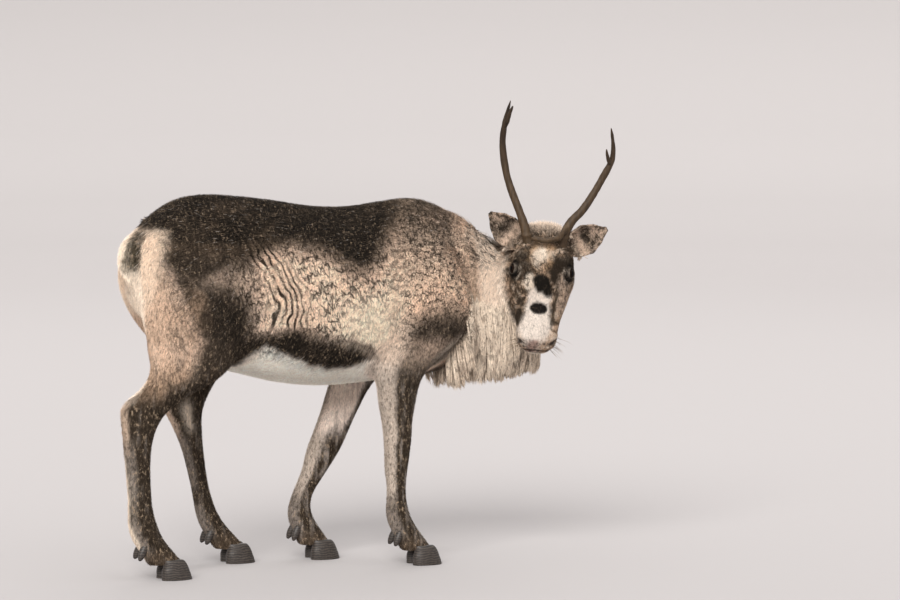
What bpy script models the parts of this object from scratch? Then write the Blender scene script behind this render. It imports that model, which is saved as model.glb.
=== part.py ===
"""A standing reindeer cow in her winter coat, life size, as a still museum model.

Metres, +Z up. She faces +X, her right side is towards -Y, and the floor is z = 0.
Body shapes are lofts through named sections that give the coat's outer surface. The
lofts of flesh are fused, smoothed and thinned as one form, and the form is then
parted into its nodes by cutters that leave a gap between touching faces.
"""

import math
import random

import bmesh
import bpy
from mathutils import Matrix, Vector

# Gaps and general fineness
GAP = 0.0003
VOXEL = 0.0065
SMOOTHING_TURNS = 6
FLESH_TRIANGLES = 3300
HEAD_TRIANGLES = 1700

# Trunk sections: x, top of the back, belly line, half width, sideways bend
TRUNK = [
    (-0.490, 0.800, 0.730, 0.030, -0.038), (-0.473, 0.846, 0.685, 0.076, -0.035),
    (-0.438, 0.880, 0.630, 0.112, -0.028), (-0.391, 0.918, 0.580, 0.135, -0.018),
    (-0.331, 0.948, 0.545, 0.149, -0.009), (-0.255, 0.957, 0.520, 0.156, -0.002),
    (-0.170, 0.951, 0.497, 0.168, 0.000), (-0.080, 0.940, 0.474, 0.182, 0.000),
    (0.020, 0.924, 0.461, 0.188, 0.000), (0.120, 0.920, 0.463, 0.182, 0.000),
    (0.200, 0.930, 0.469, 0.168, 0.000), (0.285, 0.940, 0.474, 0.150, 0.000),
    (0.350, 0.930, 0.482, 0.134, 0.000), (0.410, 0.895, 0.505, 0.115, 0.000),
    (0.455, 0.845, 0.550, 0.085, 0.000), (0.480, 0.790, 0.620, 0.045, 0.000),
]
TRUNK_WIDEST_AT = 0.44
TRUNK_BACK_NARROWING = 0.26
TRUNK_SIDE_POWER = 0.84

# Leg sections: height, rear edge, front edge, sideways place of the middle, half width
HIND_RIGHT = [
    (0.900, -0.410, -0.240, 0.060, 0.030),
    (0.840, -0.420, -0.200, 0.082, 0.055),
    (0.760, -0.448, -0.165, 0.097, 0.068),
    (0.680, -0.458, -0.160, 0.106, 0.070),
    (0.620, -0.450, -0.172, 0.111, 0.064),
    (0.567, -0.438, -0.199, 0.114, 0.056),
    (0.513, -0.441, -0.240, 0.115, 0.047),
    (0.480, -0.464, -0.292, 0.114, 0.040),
    (0.455, -0.497, -0.345, 0.113, 0.036),
    (0.435, -0.515, -0.374, 0.112, 0.034),
    (0.410, -0.516, -0.402, 0.111, 0.033),
    (0.380, -0.511, -0.420, 0.110, 0.033),
    (0.345, -0.507, -0.431, 0.109, 0.030),
    (0.300, -0.504, -0.436, 0.108, 0.028),
    (0.220, -0.498, -0.435, 0.108, 0.026),
    (0.170, -0.497, -0.429, 0.108, 0.028),
    (0.135, -0.497, -0.419, 0.108, 0.031),
    (0.100, -0.486, -0.403, 0.108, 0.032),
    (0.065, -0.463, -0.374, 0.108, 0.033),
    (0.036, -0.445, -0.352, 0.108, 0.033),
]
HIND_LEFT = [
    (0.900, -0.410, -0.240, 0.060, 0.030),
    (0.840, -0.412, -0.190, 0.082, 0.055),
    (0.760, -0.414, -0.150, 0.097, 0.068),
    (0.680, -0.394, -0.132, 0.106, 0.070),
    (0.620, -0.381, -0.127, 0.111, 0.064),
    (0.560, -0.376, -0.137, 0.113, 0.056),
    (0.510, -0.367, -0.165, 0.113, 0.046),
    (0.470, -0.354, -0.193, 0.112, 0.039),
    (0.440, -0.346, -0.212, 0.111, 0.035),
    (0.410, -0.339, -0.226, 0.110, 0.034),
    (0.385, -0.327, -0.232, 0.110, 0.033),
    (0.355, -0.312, -0.232, 0.109, 0.031),
    (0.300, -0.289, -0.229, 0.108, 0.028),
    (0.220, -0.268, -0.219, 0.108, 0.026),
    (0.170, -0.258, -0.207, 0.108, 0.028),
    (0.135, -0.252, -0.194, 0.108, 0.031),
    (0.100, -0.241, -0.172, 0.108, 0.032),
    (0.065, -0.219, -0.140, 0.108, 0.033),
    (0.036, -0.203, -0.116, 0.108, 0.033),
]
FORE_RIGHT = [
    (0.870, 0.215, 0.350, 0.060, 0.030),
    (0.790, 0.172, 0.398, 0.092, 0.052),
    (0.710, 0.160, 0.425, 0.106, 0.058),
    (0.635, 0.162, 0.428, 0.111, 0.058),
    (0.575, 0.150, 0.388, 0.110, 0.054),
    (0.530, 0.148, 0.335, 0.107, 0.049),
    (0.478, 0.164, 0.288, 0.104, 0.043),
    (0.420, 0.172, 0.273, 0.102, 0.037),
    (0.370, 0.181, 0.265, 0.100, 0.034),
    (0.335, 0.186, 0.263, 0.100, 0.034),
    (0.295, 0.188, 0.259, 0.100, 0.031),
    (0.245, 0.189, 0.252, 0.100, 0.027),
    (0.200, 0.195, 0.247, 0.100, 0.026),
    (0.165, 0.194, 0.249, 0.100, 0.028),
    (0.130, 0.193, 0.258, 0.100, 0.031),
    (0.100, 0.202, 0.274, 0.100, 0.032),
    (0.065, 0.220, 0.300, 0.100, 0.033),
    (0.036, 0.232, 0.320, 0.100, 0.033),
]
FORE_LEFT = [
    (0.870, 0.215, 0.350, 0.060, 0.030),
    (0.790, 0.172, 0.398, 0.092, 0.052),
    (0.710, 0.160, 0.425, 0.106, 0.058),
    (0.635, 0.160, 0.422, 0.108, 0.058),
    (0.575, 0.145, 0.375, 0.105, 0.054),
    (0.520, 0.127, 0.305, 0.101, 0.048),
    (0.450, 0.108, 0.228, 0.096, 0.040),
    (0.387, 0.087, 0.190, 0.094, 0.036),
    (0.330, 0.065, 0.162, 0.094, 0.034),
    (0.284, 0.046, 0.140, 0.094, 0.033),
    (0.230, 0.032, 0.104, 0.094, 0.028),
    (0.185, 0.012, 0.072, 0.094, 0.026),
    (0.155, 0.001, 0.058, 0.094, 0.028),
    (0.125, -0.006, 0.058, 0.094, 0.031),
    (0.098, -0.003, 0.070, 0.094, 0.032),
    (0.065, 0.012, 0.094, 0.094, 0.033),
    (0.036, 0.023, 0.112, 0.094, 0.033),
]

# Neck sections along its bend to the right: middle, half height, half width
NECK = [
    ((0.300, 0.000, 0.745), 0.185, 0.118),
    ((0.380, -0.002, 0.725), 0.178, 0.116),
    ((0.450, -0.012, 0.693), 0.158, 0.106),
    ((0.515, -0.028, 0.662), 0.148, 0.096),
    ((0.570, -0.038, 0.650), 0.142, 0.092),
    ((0.600, -0.044, 0.660), 0.120, 0.080),
    ((0.619, -0.049, 0.670), 0.074, 0.052),
]
# The nape, from the top of the neck up to the skull
NAPE = [
    ((0.470, -0.014, 0.700), 0.120, 0.095),
    ((0.530, -0.028, 0.705), 0.118, 0.092),
    ((0.580, -0.044, 0.728), 0.108, 0.086),
    ((0.614, -0.060, 0.762), 0.088, 0.078),
    ((0.632, -0.073, 0.797), 0.053, 0.056),
]
# Long hair of the throat: flat, tapered locks in rows along the neck, each row going
# round the underside from one side to the other
RUFF_SEED = 7
RUFF_ROWS = 8
RUFF_COLUMNS = 7
RUFF_FROM, RUFF_TO = 0.30, 0.86
RUFF_HALF_ANGLE = math.radians(98)
# How far the locks lean towards the head at the chest, and how much less at the throat
RUFF_LEAN = 0.16
RUFF_LEAN_LOSS = 0.50
RUFF_FRONT_SHORTER = 0.30
LOCK_LENGTH = 0.118
LOCK_WIDTH = 0.044
LOCK_THICKNESS = 0.013
LOCK_ROOT_DEPTH = 0.020
# Shares of a lock's length where its sections stand, with their share of its width
LOCK_SECTIONS = [(0.0, 0.80), (0.35, 1.0), (0.76, 0.74)]
RUFF_FLOOR = 0.437

# Head: where the skull meets the neck, and how the head is turned
VIEW_AZIMUTH = math.radians(-22)
HEAD_AT = Vector((0.646, -0.080, 0.863))
HEAD_YAW = math.radians(2.0)
HEAD_PITCH = math.radians(62)
HEAD_LEAN = math.radians(-4.5)
# Head sections: distance from the back of the skull, height of the face above the
# axis, depth of the jaw below it, half width
HEAD = [
    (-0.012, 0.010, 0.040, 0.034),
    (0.000, 0.027, 0.060, 0.052),
    (0.030, 0.047, 0.088, 0.066),
    (0.070, 0.060, 0.106, 0.076),
    (0.110, 0.063, 0.115, 0.082),
    (0.150, 0.058, 0.112, 0.084),
    (0.190, 0.052, 0.100, 0.078),
    (0.230, 0.046, 0.082, 0.068),
    (0.268, 0.042, 0.066, 0.058),
    (0.301, 0.041, 0.056, 0.053),
    (0.327, 0.038, 0.049, 0.050),
    (0.344, 0.029, 0.041, 0.043),
    (0.354, 0.014, 0.027, 0.027),
]

# Line of the mouth
MOUTH_HALF_WIDTH = 0.0065
MOUTH_HEIGHT = -0.030
MOUTH_RISE = 0.18
MOUTH_FRONT_RISE = 0.85
MOUTH_DEPTH = 0.0085

# Eyes, in the head's own axes: along the face, sideways, above the axis
# Forms pressed into the head: place, reach along the head's axes, height, direction
PAIRED_FORMS = [
    # Brow over the eye, hollow before it, cheek and jaw
    ((0.108, 0.056, 0.046), (0.042, 0.030, 0.030), 0.006, (0, 0.8, 0.6)),
    ((0.195, 0.060, 0.016), (0.050, 0.030, 0.035), -0.007, (0, 1, 0)),
    ((0.145, 0.070, -0.055), (0.070, 0.050, 0.050), 0.006, (0, 1, 0)),
    ((0.250, 0.050, -0.030), (0.060, 0.030, 0.030), -0.004, (0, 1, 0)),
    # Swell of the nostril and the pit in it
    ((0.325, 0.040, 0.014), (0.032, 0.030, 0.026), 0.007, (0.2, 1, 0.3)),
    ((0.336, 0.040, 0.012), (0.018, 0.030, 0.010), -0.018, (0.4, 1, 0.1)),
    # Mouth corner
    ((0.268, 0.050, -0.026), (0.022, 0.030, 0.010), -0.005, (0, 1, 0)),
]
MIDDLE_FORMS = [
    # Slightly dished bridge of the nose, and the chin
    ((0.235, 0, 0.046), (0.060, 0.050, 0.030), -0.004, (0, 0, 1)),
    ((0.335, 0, -0.046), (0.030, 0.030, 0.030), 0.005, (0, 0, -1)),
]
EYE_AT = (0.144, 0.0640, 0.024)
EYE_RADIUS = 0.0185
LID_THICKNESS = 0.0028
EYE_LENGTH = 0.031
EYE_OPENING = 0.023
# How the opening faces: along the face, to the side, out of the forehead
EYE_FACING = (0.06, 0.80, 0.60)

# Antlers: pedicle place in the head's axes, then steps from it: to the picture's
# right, up, and towards the viewer, with the radius there
PEDICLE_AT = (0.064, 0.045, 0.048)
BEAM_RIGHT = [
    ((0.004, -0.014, -0.004), 0.0150),
    ((-0.002, 0.012, -0.002), 0.0122),
    ((-0.012, 0.050, -0.008), 0.0108),
    ((-0.033, 0.104, -0.020), 0.0100),
    ((-0.051, 0.159, -0.028), 0.0094),
    ((-0.060, 0.208, -0.030), 0.0090),
    ((-0.063, 0.250, -0.024), 0.0086),
    ((-0.058, 0.295, -0.012), 0.0070),
    ((-0.052, 0.322, -0.004), 0.0052),
    ((-0.043, 0.356, 0.006), 0.0026),
]
BEAM_LEFT = [
    ((-0.002, -0.014, -0.004), 0.0150),
    ((0.005, 0.012, -0.002), 0.0125),
    ((0.023, 0.048, -0.006), 0.0114),
    ((0.054, 0.081, -0.014), 0.0106),
    ((0.082, 0.121, -0.022), 0.0098),
    ((0.103, 0.158, -0.026), 0.0094),
    ((0.123, 0.194, -0.024), 0.0086),
    ((0.131, 0.216, -0.020), 0.0070),
    ((0.132, 0.250, -0.010), 0.0054),
    ((0.126, 0.292, 0.002), 0.0026),
]
CROWN_TINE_RIGHT = [
    ((-0.0595, 0.284, -0.016), 0.0062),
    ((-0.051, 0.303, -0.001), 0.0056),
    ((-0.044, 0.326, 0.012), 0.0044),
    ((-0.037, 0.342, 0.020), 0.0024),
]
CROWN_TINE_LEFT = [
    ((0.1255, 0.198, -0.022), 0.0064),
    ((0.120, 0.209, -0.010), 0.0054),
    ((0.1165, 0.223, 0.000), 0.0042),
    ((0.1140, 0.238, 0.007), 0.0022),
]
BROW_TINE_LEFT = [
    ((0.0136, 0.0374, -0.002), 0.0076),
    ((0.001, 0.021, 0.018), 0.0070),
    ((-0.016, 0.008, 0.030), 0.0064),
    ((-0.039, 0.002, 0.036), 0.0058),
    ((-0.062, 0.005, 0.034), 0.0048),
    ((-0.0790, 0.013, 0.028), 0.0028),
]
ANTLER_SIDES = 8
DEWCLAW_SIDES = 6
DEWCLAW_STEPS = 1
ANTLER_RINGS_PER_STEP = 2

# Ears: root in the head's axes, then the direction of each tip as steps to the
# picture's right, up and towards the viewer
EAR_ROOT = (0.066, 0.060, 0.010)
EAR_LENGTH = 0.117
EAR_WIDTH = 0.040
EAR_WALL = 0.0055
# Half width at the root and its swell above it, as shares of EAR_WIDTH
EAR_ROOT_SHARE = 0.42
EAR_SWELL = 0.62
EAR_TIP_ROUNDING = 4.0
# How far each half curls at the root, in degrees, and how much of that the tip loses
EAR_CURL = 118
EAR_UNCURL = 62
EAR_BOW = 0.012
EAR_CUP_DEPTH = 0.75
EAR_TIP_RIGHT = Vector((-0.69, 0.72, -0.10))
EAR_TIP_LEFT = Vector((0.89, 0.44, -0.10))
EAR_ROWS = 7
EAR_COLUMNS = 8

# Hooves and dewclaws
CLAW_LENGTH = 0.078
CLAW_WIDTH = 0.036
CLAW_HEIGHT = 0.050
CLAW_SPREAD = 0.0215
CLAW_POINTS = 8
DEWCLAW_LENGTH = 0.040
DEWCLAW_TOP = 0.088
DEWCLAW_RADIUS = 0.0100

# Tail
TAIL = [
    ((-0.446, -0.040, 0.848), 0.017, 0.026),
    ((-0.471, -0.062, 0.834), 0.019, 0.030),
    ((-0.484, -0.083, 0.797), 0.019, 0.031),
    ((-0.484, -0.090, 0.755), 0.016, 0.027),
    ((-0.475, -0.090, 0.718), 0.008, 0.013),
]

COLOURS = {
    "coat": (0.36, 0.28, 0.21),
    "pale_coat": (0.80, 0.72, 0.62),
    "face_coat": (0.40, 0.33, 0.27),
    "dark_coat": (0.14, 0.12, 0.10),
    "antler": (0.20, 0.14, 0.09),
    "hoof": (0.06, 0.055, 0.05),
    "eye": (0.015, 0.012, 0.010),
}
ROUGHNESS = {"antler": 0.6, "hoof": 0.45, "eye": 0.05}
COAT_ROUGHNESS = 0.95


def clear_scene():
    """Removes the startup objects."""
    for obj in list(bpy.data.objects):
        bpy.data.objects.remove(obj)


def collection(name):
    """Makes a collection in the scene."""
    made = bpy.data.collections.new(name)
    bpy.context.scene.collection.children.link(made)
    return made


def material(name):
    """The Principled material of that name, made on first use."""
    found = bpy.data.materials.get(name)
    if found:
        return found
    made = bpy.data.materials.new(name)
    made.use_nodes = True
    shader = made.node_tree.nodes["Principled BSDF"]
    shader.inputs["Base Color"].default_value = (*COLOURS[name], 1.0)
    shader.inputs["Roughness"].default_value = ROUGHNESS.get(name, COAT_ROUGHNESS)
    shader.inputs["Metallic"].default_value = 0.0
    return made


def object_from(bm, name):
    """A mesh object in the part's collection from a bmesh."""
    mesh = bpy.data.meshes.new(name)
    bm.to_mesh(mesh)
    bm.free()
    obj = bpy.data.objects.new(name, mesh)
    PARTS.objects.link(obj)
    return obj


def bake(obj):
    """Replaces an object's mesh by its evaluated one and drops its modifiers."""
    bpy.context.view_layer.update()
    graph = bpy.context.evaluated_depsgraph_get()
    mesh = bpy.data.meshes.new_from_object(obj.evaluated_get(graph))
    mesh.transform(obj.matrix_world)
    obj.modifiers.clear()
    old = obj.data
    if obj.type == "MESH":
        obj.data = mesh
        obj.matrix_world = Matrix.Identity(4)
        bpy.data.meshes.remove(old)
        return obj
    name = obj.name
    bpy.data.objects.remove(obj)
    made = bpy.data.objects.new(name, mesh)
    PARTS.objects.link(made)
    return made


def remove(*objs):
    """Removes helper objects."""
    for obj in objs:
        bpy.data.objects.remove(obj)


def copy_of(obj, name):
    """A copy with its own mesh."""
    made = obj.copy()
    made.data = obj.data.copy()
    made.name = name
    PARTS.objects.link(made)
    return made


def boolean(obj, other, operation):
    """Applies one Boolean with another object, by the second solver where the first
    one leaves nothing or an open surface."""
    before = obj.data.copy()
    for solver in ("EXACT", "MANIFOLD"):
        step = obj.modifiers.new(operation.lower(), "BOOLEAN")
        step.operation = operation
        step.solver = solver
        step.object = other
        bake(obj)
        if is_closed(obj.data):
            break
        obj.data = before.copy()
    return obj


def is_closed(mesh):
    """True for a mesh with faces whose edges each join two of them."""
    bm = bmesh.new()
    bm.from_mesh(mesh)
    bmesh.ops.remove_doubles(bm, verts=bm.verts, dist=1e-6)
    closed = len(bm.faces) > 0 and all(len(edge.link_faces) == 2 for edge in bm.edges)
    bm.free()
    return closed


def keep_largest(obj):
    """Drops every closed surface of an object but its largest, and merges doubles."""
    bm = bmesh.new()
    bm.from_mesh(obj.data)
    bmesh.ops.remove_doubles(bm, verts=bm.verts, dist=1e-6)
    bmesh.ops.dissolve_degenerate(bm, edges=bm.edges, dist=1e-6)
    groups = loose_groups(bm)
    largest = max(groups, key=lambda group: abs(group_volume(group)))
    drop = [face for group in groups if group is not largest for face in group]
    bmesh.ops.delete(bm, geom=drop, context="FACES")
    alone = [vert for vert in bm.verts if not vert.link_faces]
    bmesh.ops.delete(bm, geom=alone, context="VERTS")
    bmesh.ops.triangulate(bm, faces=bm.faces)
    bm.to_mesh(obj.data)
    bm.free()
    return obj


def loose_groups(bm):
    """Lists of faces, one for each connected surface."""
    unseen = set(bm.faces)
    groups = []
    while unseen:
        first = unseen.pop()
        group = [first]
        edge_of_group = [first]
        while edge_of_group:
            face = edge_of_group.pop()
            for edge in face.edges:
                for near in edge.link_faces:
                    if near in unseen:
                        unseen.discard(near)
                        group.append(near)
                        edge_of_group.append(near)
        groups.append(group)
    return groups


def group_volume(group):
    """Signed volume inside a closed group of faces."""
    total = 0.0
    for face in group:
        points = [vert.co for vert in face.verts]
        for second, third in zip(points[1:-1], points[2:]):
            total += points[0].dot(second.cross(third)) / 6
    return total


def split_loose(obj, name_of):
    """Splits an object into its closed surfaces, each named by name_of(centre)."""
    bm = bmesh.new()
    bm.from_mesh(obj.data)
    bmesh.ops.remove_doubles(bm, verts=bm.verts, dist=1e-6)
    made = {}
    for group in loose_groups(bm):
        volume = group_volume(group)
        if volume < 1e-6:
            continue
        verts = {vert for face in group for vert in face.verts}
        centre = sum((vert.co for vert in verts), Vector()) / len(verts)
        name = name_of(centre)
        if name in made and made[name][1] > volume:
            continue
        order = {vert: number for number, vert in enumerate(verts)}
        faces = [[order[vert] for vert in face.verts] for face in group]
        made[name] = ([vert.co.copy() for vert in verts], volume, faces)
    bm.free()
    remove(obj)
    pieces = {}
    for name, (points, _, faces) in made.items():
        mesh = bpy.data.meshes.new(name)
        mesh.from_pydata(points, [], faces)
        pieces[name] = bpy.data.objects.new(name, mesh)
        PARTS.objects.link(pieces[name])
        keep_largest(pieces[name])
    return pieces


def grown(obj, distance, name="grown"):
    """A copy whose surface stands out by a distance, as a cutter that leaves a gap."""
    made = copy_of(obj, name)
    normals = [vert.normal.copy() for vert in made.data.vertices]
    for vert, normal in zip(made.data.vertices, normals):
        vert.co += normal * distance
    return made


def clear_of(obj, neighbour):
    """Cuts a piece back from a neighbour, so that they meet face to face."""
    cutter = grown(neighbour, GAP)
    obj = boolean(obj, cutter, "DIFFERENCE")
    remove(cutter)
    return keep_largest(obj)


def between(values, place):
    """Catmull-Rom value at a place counted in steps along a list of tuples."""
    last = len(values) - 1
    index = min(int(place), last - 1)
    t = place - index
    p0, p1 = values[max(index - 1, 0)], values[index]
    p2, p3 = values[index + 1], values[min(index + 2, last)]
    return tuple(
        0.5 * (2 * b + (c - a) * t + (2 * a - 5 * b + 4 * c - d) * t * t
               + (3 * b - a - 3 * c + d) * t * t * t)
        for a, b, c, d in zip(p0, p1, p2, p3)
    )


def refined(values, steps):
    """A list of tuples with more of them between, on a smooth curve."""
    count = (len(values) - 1) * steps
    return [between(values, number / steps) for number in range(count + 1)]


def loft(rings, name):
    """A closed skin over rings of points, with flat ends."""
    bm = bmesh.new()
    rows = [[bm.verts.new(point) for point in ring] for ring in rings]
    for row, after in zip(rows, rows[1:]):
        count = len(row)
        for k in range(count):
            following = (k + 1) % count
            bm.faces.new((row[k], row[following], after[following], after[k]))
    bm.faces.new(rows[0][::-1])
    bm.faces.new(rows[-1])
    bmesh.ops.recalc_face_normals(bm, faces=bm.faces)
    return object_from(bm, name)


def curved(value, power):
    """A sine or cosine raised to a power with its sign kept."""
    return math.copysign(abs(value) ** power, value)


def trunk_ring(x, top, bottom, half_width, aside, count=40):
    """One upright section of the trunk."""
    middle = bottom + TRUNK_WIDEST_AT * (top - bottom)
    ring = []
    for k in range(count):
        angle = 2 * math.pi * k / count
        up, side = math.cos(angle), math.sin(angle)
        reach = top - middle if up > 0 else middle - bottom
        narrowing = 1 - TRUNK_BACK_NARROWING * max(0.0, up) ** 1.5
        y = half_width * curved(side, TRUNK_SIDE_POWER) * narrowing
        ring.append((x, y + aside, middle + reach * curved(up, 0.92)))
    return ring


def trunk():
    """The barrel of the body, from the rump to the breast."""
    sections = refined(TRUNK, 3)
    return loft([trunk_ring(*section) for section in sections], "trunk")


def leg(sections, side, name, count=24):
    """A leg from level sections, on the side given by the sign."""
    rings = []
    for z, rear, front, y, half_width in refined(sections, 3):
        ring = []
        for k in range(count):
            angle = 2 * math.pi * k / count
            x = (rear + front) / 2 + (front - rear) / 2 * curved(math.cos(angle), 0.9)
            ring.append((x, side * y + half_width * curved(math.sin(angle), 0.9), z))
        rings.append(ring)
    return loft(rings, name)


def path_rings(sections, count=28, top_narrowing=0.2):
    """Rings square to a bent path: each section is a middle, half height, half width."""
    flat = [(*middle, high, wide) for middle, high, wide in sections]
    fine = refined(flat, 4)
    rings = []
    for number, (x, y, z, high, wide) in enumerate(fine):
        before = Vector(fine[max(number - 1, 0)][:3])
        after = Vector(fine[min(number + 1, len(fine) - 1)][:3])
        along = (after - before).normalized()
        across = Vector((0, 0, 1)).cross(along).normalized()
        up = along.cross(across)
        ring = []
        for k in range(count):
            angle = 2 * math.pi * k / count
            rise, side = math.cos(angle), math.sin(angle)
            narrowing = 1 - top_narrowing * max(0.0, rise)
            ring.append(Vector((x, y, z)) + up * high * rise
                        + across * wide * side * narrowing)
        rings.append(ring)
    return rings


def lock(places, side, out, width, thickness, name):
    """A flat, tapered, closed lock through its places, widest across the side axis."""
    bm = bmesh.new()
    rows = []
    for place, (_, share) in zip(places, LOCK_SECTIONS):
        across = side * (width * share / 2)
        deep = out * (thickness * share / 2)
        rows.append([bm.verts.new(place + step)
                     for step in (across, deep, -across, -deep)])
    tip = bm.verts.new(places[-1])
    for row, after in zip(rows, rows[1:]):
        for k in range(4):
            following = (k + 1) % 4
            bm.faces.new((row[k], row[following], after[following], after[k]))
    for k in range(4):
        bm.faces.new((rows[-1][k], rows[-1][(k + 1) % 4], tip))
    bm.faces.new(rows[0][::-1])
    bmesh.ops.triangulate(bm, faces=bm.faces)
    bmesh.ops.recalc_face_normals(bm, faces=bm.faces)
    return object_from(bm, name)


def ruff_lock(place, angle, jitter, name):
    """One lock of the ruff: its place along the neck and its angle off the bottom."""
    x, y, z, high, wide = between([(*m, h, w) for m, h, w in NECK], place)
    later = Vector(between([m for m, _, _ in NECK], min(place + 0.1, len(NECK) - 1)))
    along = (later - Vector((x, y, z)) + Vector((1e-6, 0, 0))).normalized()
    across = Vector((0, 0, 1)).cross(along).normalized()
    up = along.cross(across)
    out = (across * math.sin(angle) / wide - up * math.cos(angle) / high).normalized()
    surface = (Vector((x, y, z)) - up * high * math.cos(angle)
               + across * wide * math.sin(angle))
    share = (place / (len(NECK) - 1) - RUFF_FROM) / (RUFF_TO - RUFF_FROM)
    share = min(max(share, 0.0), 1.0)
    lean = RUFF_LEAN - RUFF_LEAN_LOSS * share ** 2 + 0.18 * jitter[0]
    down = Vector((0, 0, -1)) + along * lean + across * 0.2 * jitter[1]
    lie = (down + out * 0.20 * (1 - abs(math.sin(angle)) * 0.6)).normalized()
    side = lie.cross(out)
    side = side.normalized() if side.length > 0.25 else along
    length = LOCK_LENGTH * (1 + 0.18 * jitter[2]) * (1 - RUFF_FRONT_SHORTER * share ** 2)
    tip_z = surface.z + lie.z * length
    if tip_z < RUFF_FLOOR:
        length *= max(0.3, (surface.z - RUFF_FLOOR) / (surface.z - tip_z))
    thick = side.cross(lie).normalized()
    root = surface - out * LOCK_ROOT_DEPTH - lie * 0.3 * LOCK_ROOT_DEPTH
    places = [root]
    for share, _ in LOCK_SECTIONS[1:]:
        bow = out * (0.007 * math.sin(math.pi * share))
        places.append(surface + lie * (length * share) + bow)
    places.append(surface + lie * length - thick * 0.004)
    return lock(places, side, thick, LOCK_WIDTH * (1 + 0.15 * jitter[1]),
                LOCK_THICKNESS, name)


def with_locks(neck):
    """Fuses the ruff's locks with the neck in one union."""
    chance = random.Random(RUFF_SEED)
    locks = bpy.data.collections.new("ruff locks")
    bpy.context.scene.collection.children.link(locks)
    last = len(NECK) - 1
    for row in range(RUFF_ROWS):
        for column in range(RUFF_COLUMNS):
            jitter = [chance.uniform(-1, 1) for _ in range(4)]
            shift = 0.5 * (row % 2) - 0.25 + 0.2 * jitter[3]
            place = last * (RUFF_FROM + (RUFF_TO - RUFF_FROM)
                            * (row + 0.25 * jitter[0]) / (RUFF_ROWS - 1))
            spread = 2 * (column + 0.5 + shift) / RUFF_COLUMNS - 1
            made = ruff_lock(min(max(place, 0.0), last - 0.01),
                             spread * RUFF_HALF_ANGLE, jitter, "ruff lock")
            PARTS.objects.unlink(made)
            locks.objects.link(made)
    step = neck.modifiers.new("ruff", "BOOLEAN")
    step.operation = "UNION"
    step.operand_type = "COLLECTION"
    step.collection = locks
    step.solver = "MANIFOLD"
    bake(neck)
    remove(*list(locks.objects))
    bpy.data.collections.remove(locks)
    return keep_largest(neck)


def head_axes():
    """Unit vectors of the head: along the face to the nose, to its left, and out of
    the forehead."""
    towards_viewer = Vector((math.sin(VIEW_AZIMUTH), -math.cos(VIEW_AZIMUTH), 0))
    picture_right = Vector((math.cos(VIEW_AZIMUTH), math.sin(VIEW_AZIMUTH), 0))
    level = towards_viewer * math.cos(HEAD_YAW) - picture_right * math.sin(HEAD_YAW)
    down = Vector((0, 0, -1))
    along = level * math.cos(HEAD_PITCH) + down * math.sin(HEAD_PITCH)
    out = level * math.sin(HEAD_PITCH) - down * math.cos(HEAD_PITCH)
    lean = Matrix.Rotation(HEAD_LEAN, 3, towards_viewer)
    along, out = lean @ along, lean @ out
    return along, out.cross(along), out, towards_viewer, picture_right


def on_head(along, side, out):
    """A point given in the head's own axes."""
    return HEAD_AT + NOSEWARD * along + LEFTWARD * side + OUTWARD * out


def on_view(start, step):
    """A point stepped from another: to the picture's right, up, towards the viewer."""
    right, up, near = step
    return start + PICTURE_RIGHT * right + Vector((0, 0, up)) + TOWARDS_VIEWER * near


def head_ring(along, rise, drop, half_width, count=48):
    """One section across the head. The bridge is narrower than the cheeks."""
    ring = []
    for k in range(count):
        angle = 2 * math.pi * k / count
        up, side = math.cos(angle), math.sin(angle)
        out = (rise if up > 0 else drop) * curved(up, 0.86)
        narrowing = 1 - 0.15 * max(0.0, -up) ** 1.4 - 0.12 * max(0.0, up) ** 2
        across = half_width * curved(side, 0.86) * narrowing
        ring.append(on_head(along, across, out))
    return ring


def head_form(steps, name):
    """The head's plain loft."""
    return loft([head_ring(*section) for section in refined(HEAD, steps)], name)


def bump(distance, radius):
    """1 at the middle of a brush, falling smoothly to 0 at its radius."""
    if distance >= radius:
        return 0.0
    t = 1 - (distance / radius) ** 2
    return t * t


def push(points, middle, radii, amount, direction):
    """Moves points near a place of the head: middle and direction are in its axes."""
    centre = on_head(*middle)
    way = (NOSEWARD * direction[0] + LEFTWARD * direction[1] + OUTWARD * direction[2])
    axes = (NOSEWARD / radii[0], LEFTWARD / radii[1], OUTWARD / radii[2])
    for vert in points:
        offset = vert.co - centre
        distance = math.sqrt(sum(offset.dot(axis) ** 2 for axis in axes))
        if distance < 1:
            vert.co += way * (amount * bump(distance, 1.0))


def sculpt_head(obj):
    """Presses the main forms of a deer's face into a fine head."""
    verts = obj.data.vertices
    for middle, radii, amount, way in PAIRED_FORMS:
        for side in (1, -1):
            push(verts, (middle[0], middle[1] * side, middle[2]), radii, amount,
                 (way[0], way[1] * side, way[2]))
    for middle, radii, amount, way in MIDDLE_FORMS:
        push(verts, middle, radii, amount, way)
    mouth_line(verts)


def mouth_line(verts):
    """Presses the line of the mouth round the muzzle, from corner to corner."""
    for vert in verts:
        offset = vert.co - HEAD_AT
        along = offset.dot(NOSEWARD)
        side = offset.dot(LEFTWARD)
        out = offset.dot(OUTWARD)
        if along < 0.255 or out > 0.01:
            continue
        line = (MOUTH_HEIGHT + MOUTH_RISE * max(0.0, along - 0.30)
                + MOUTH_FRONT_RISE * max(0.0, along - 0.335))
        depth = bump(abs(out - line), MOUTH_HALF_WIDTH)
        start = min(1.0, (along - 0.255) / 0.02)
        inward = LEFTWARD * (-side) + NOSEWARD * (-0.6 * max(0.0, along - 0.30))
        if inward.length > 1e-6:
            vert.co += inward.normalized() * (MOUTH_DEPTH * depth * start)


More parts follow.
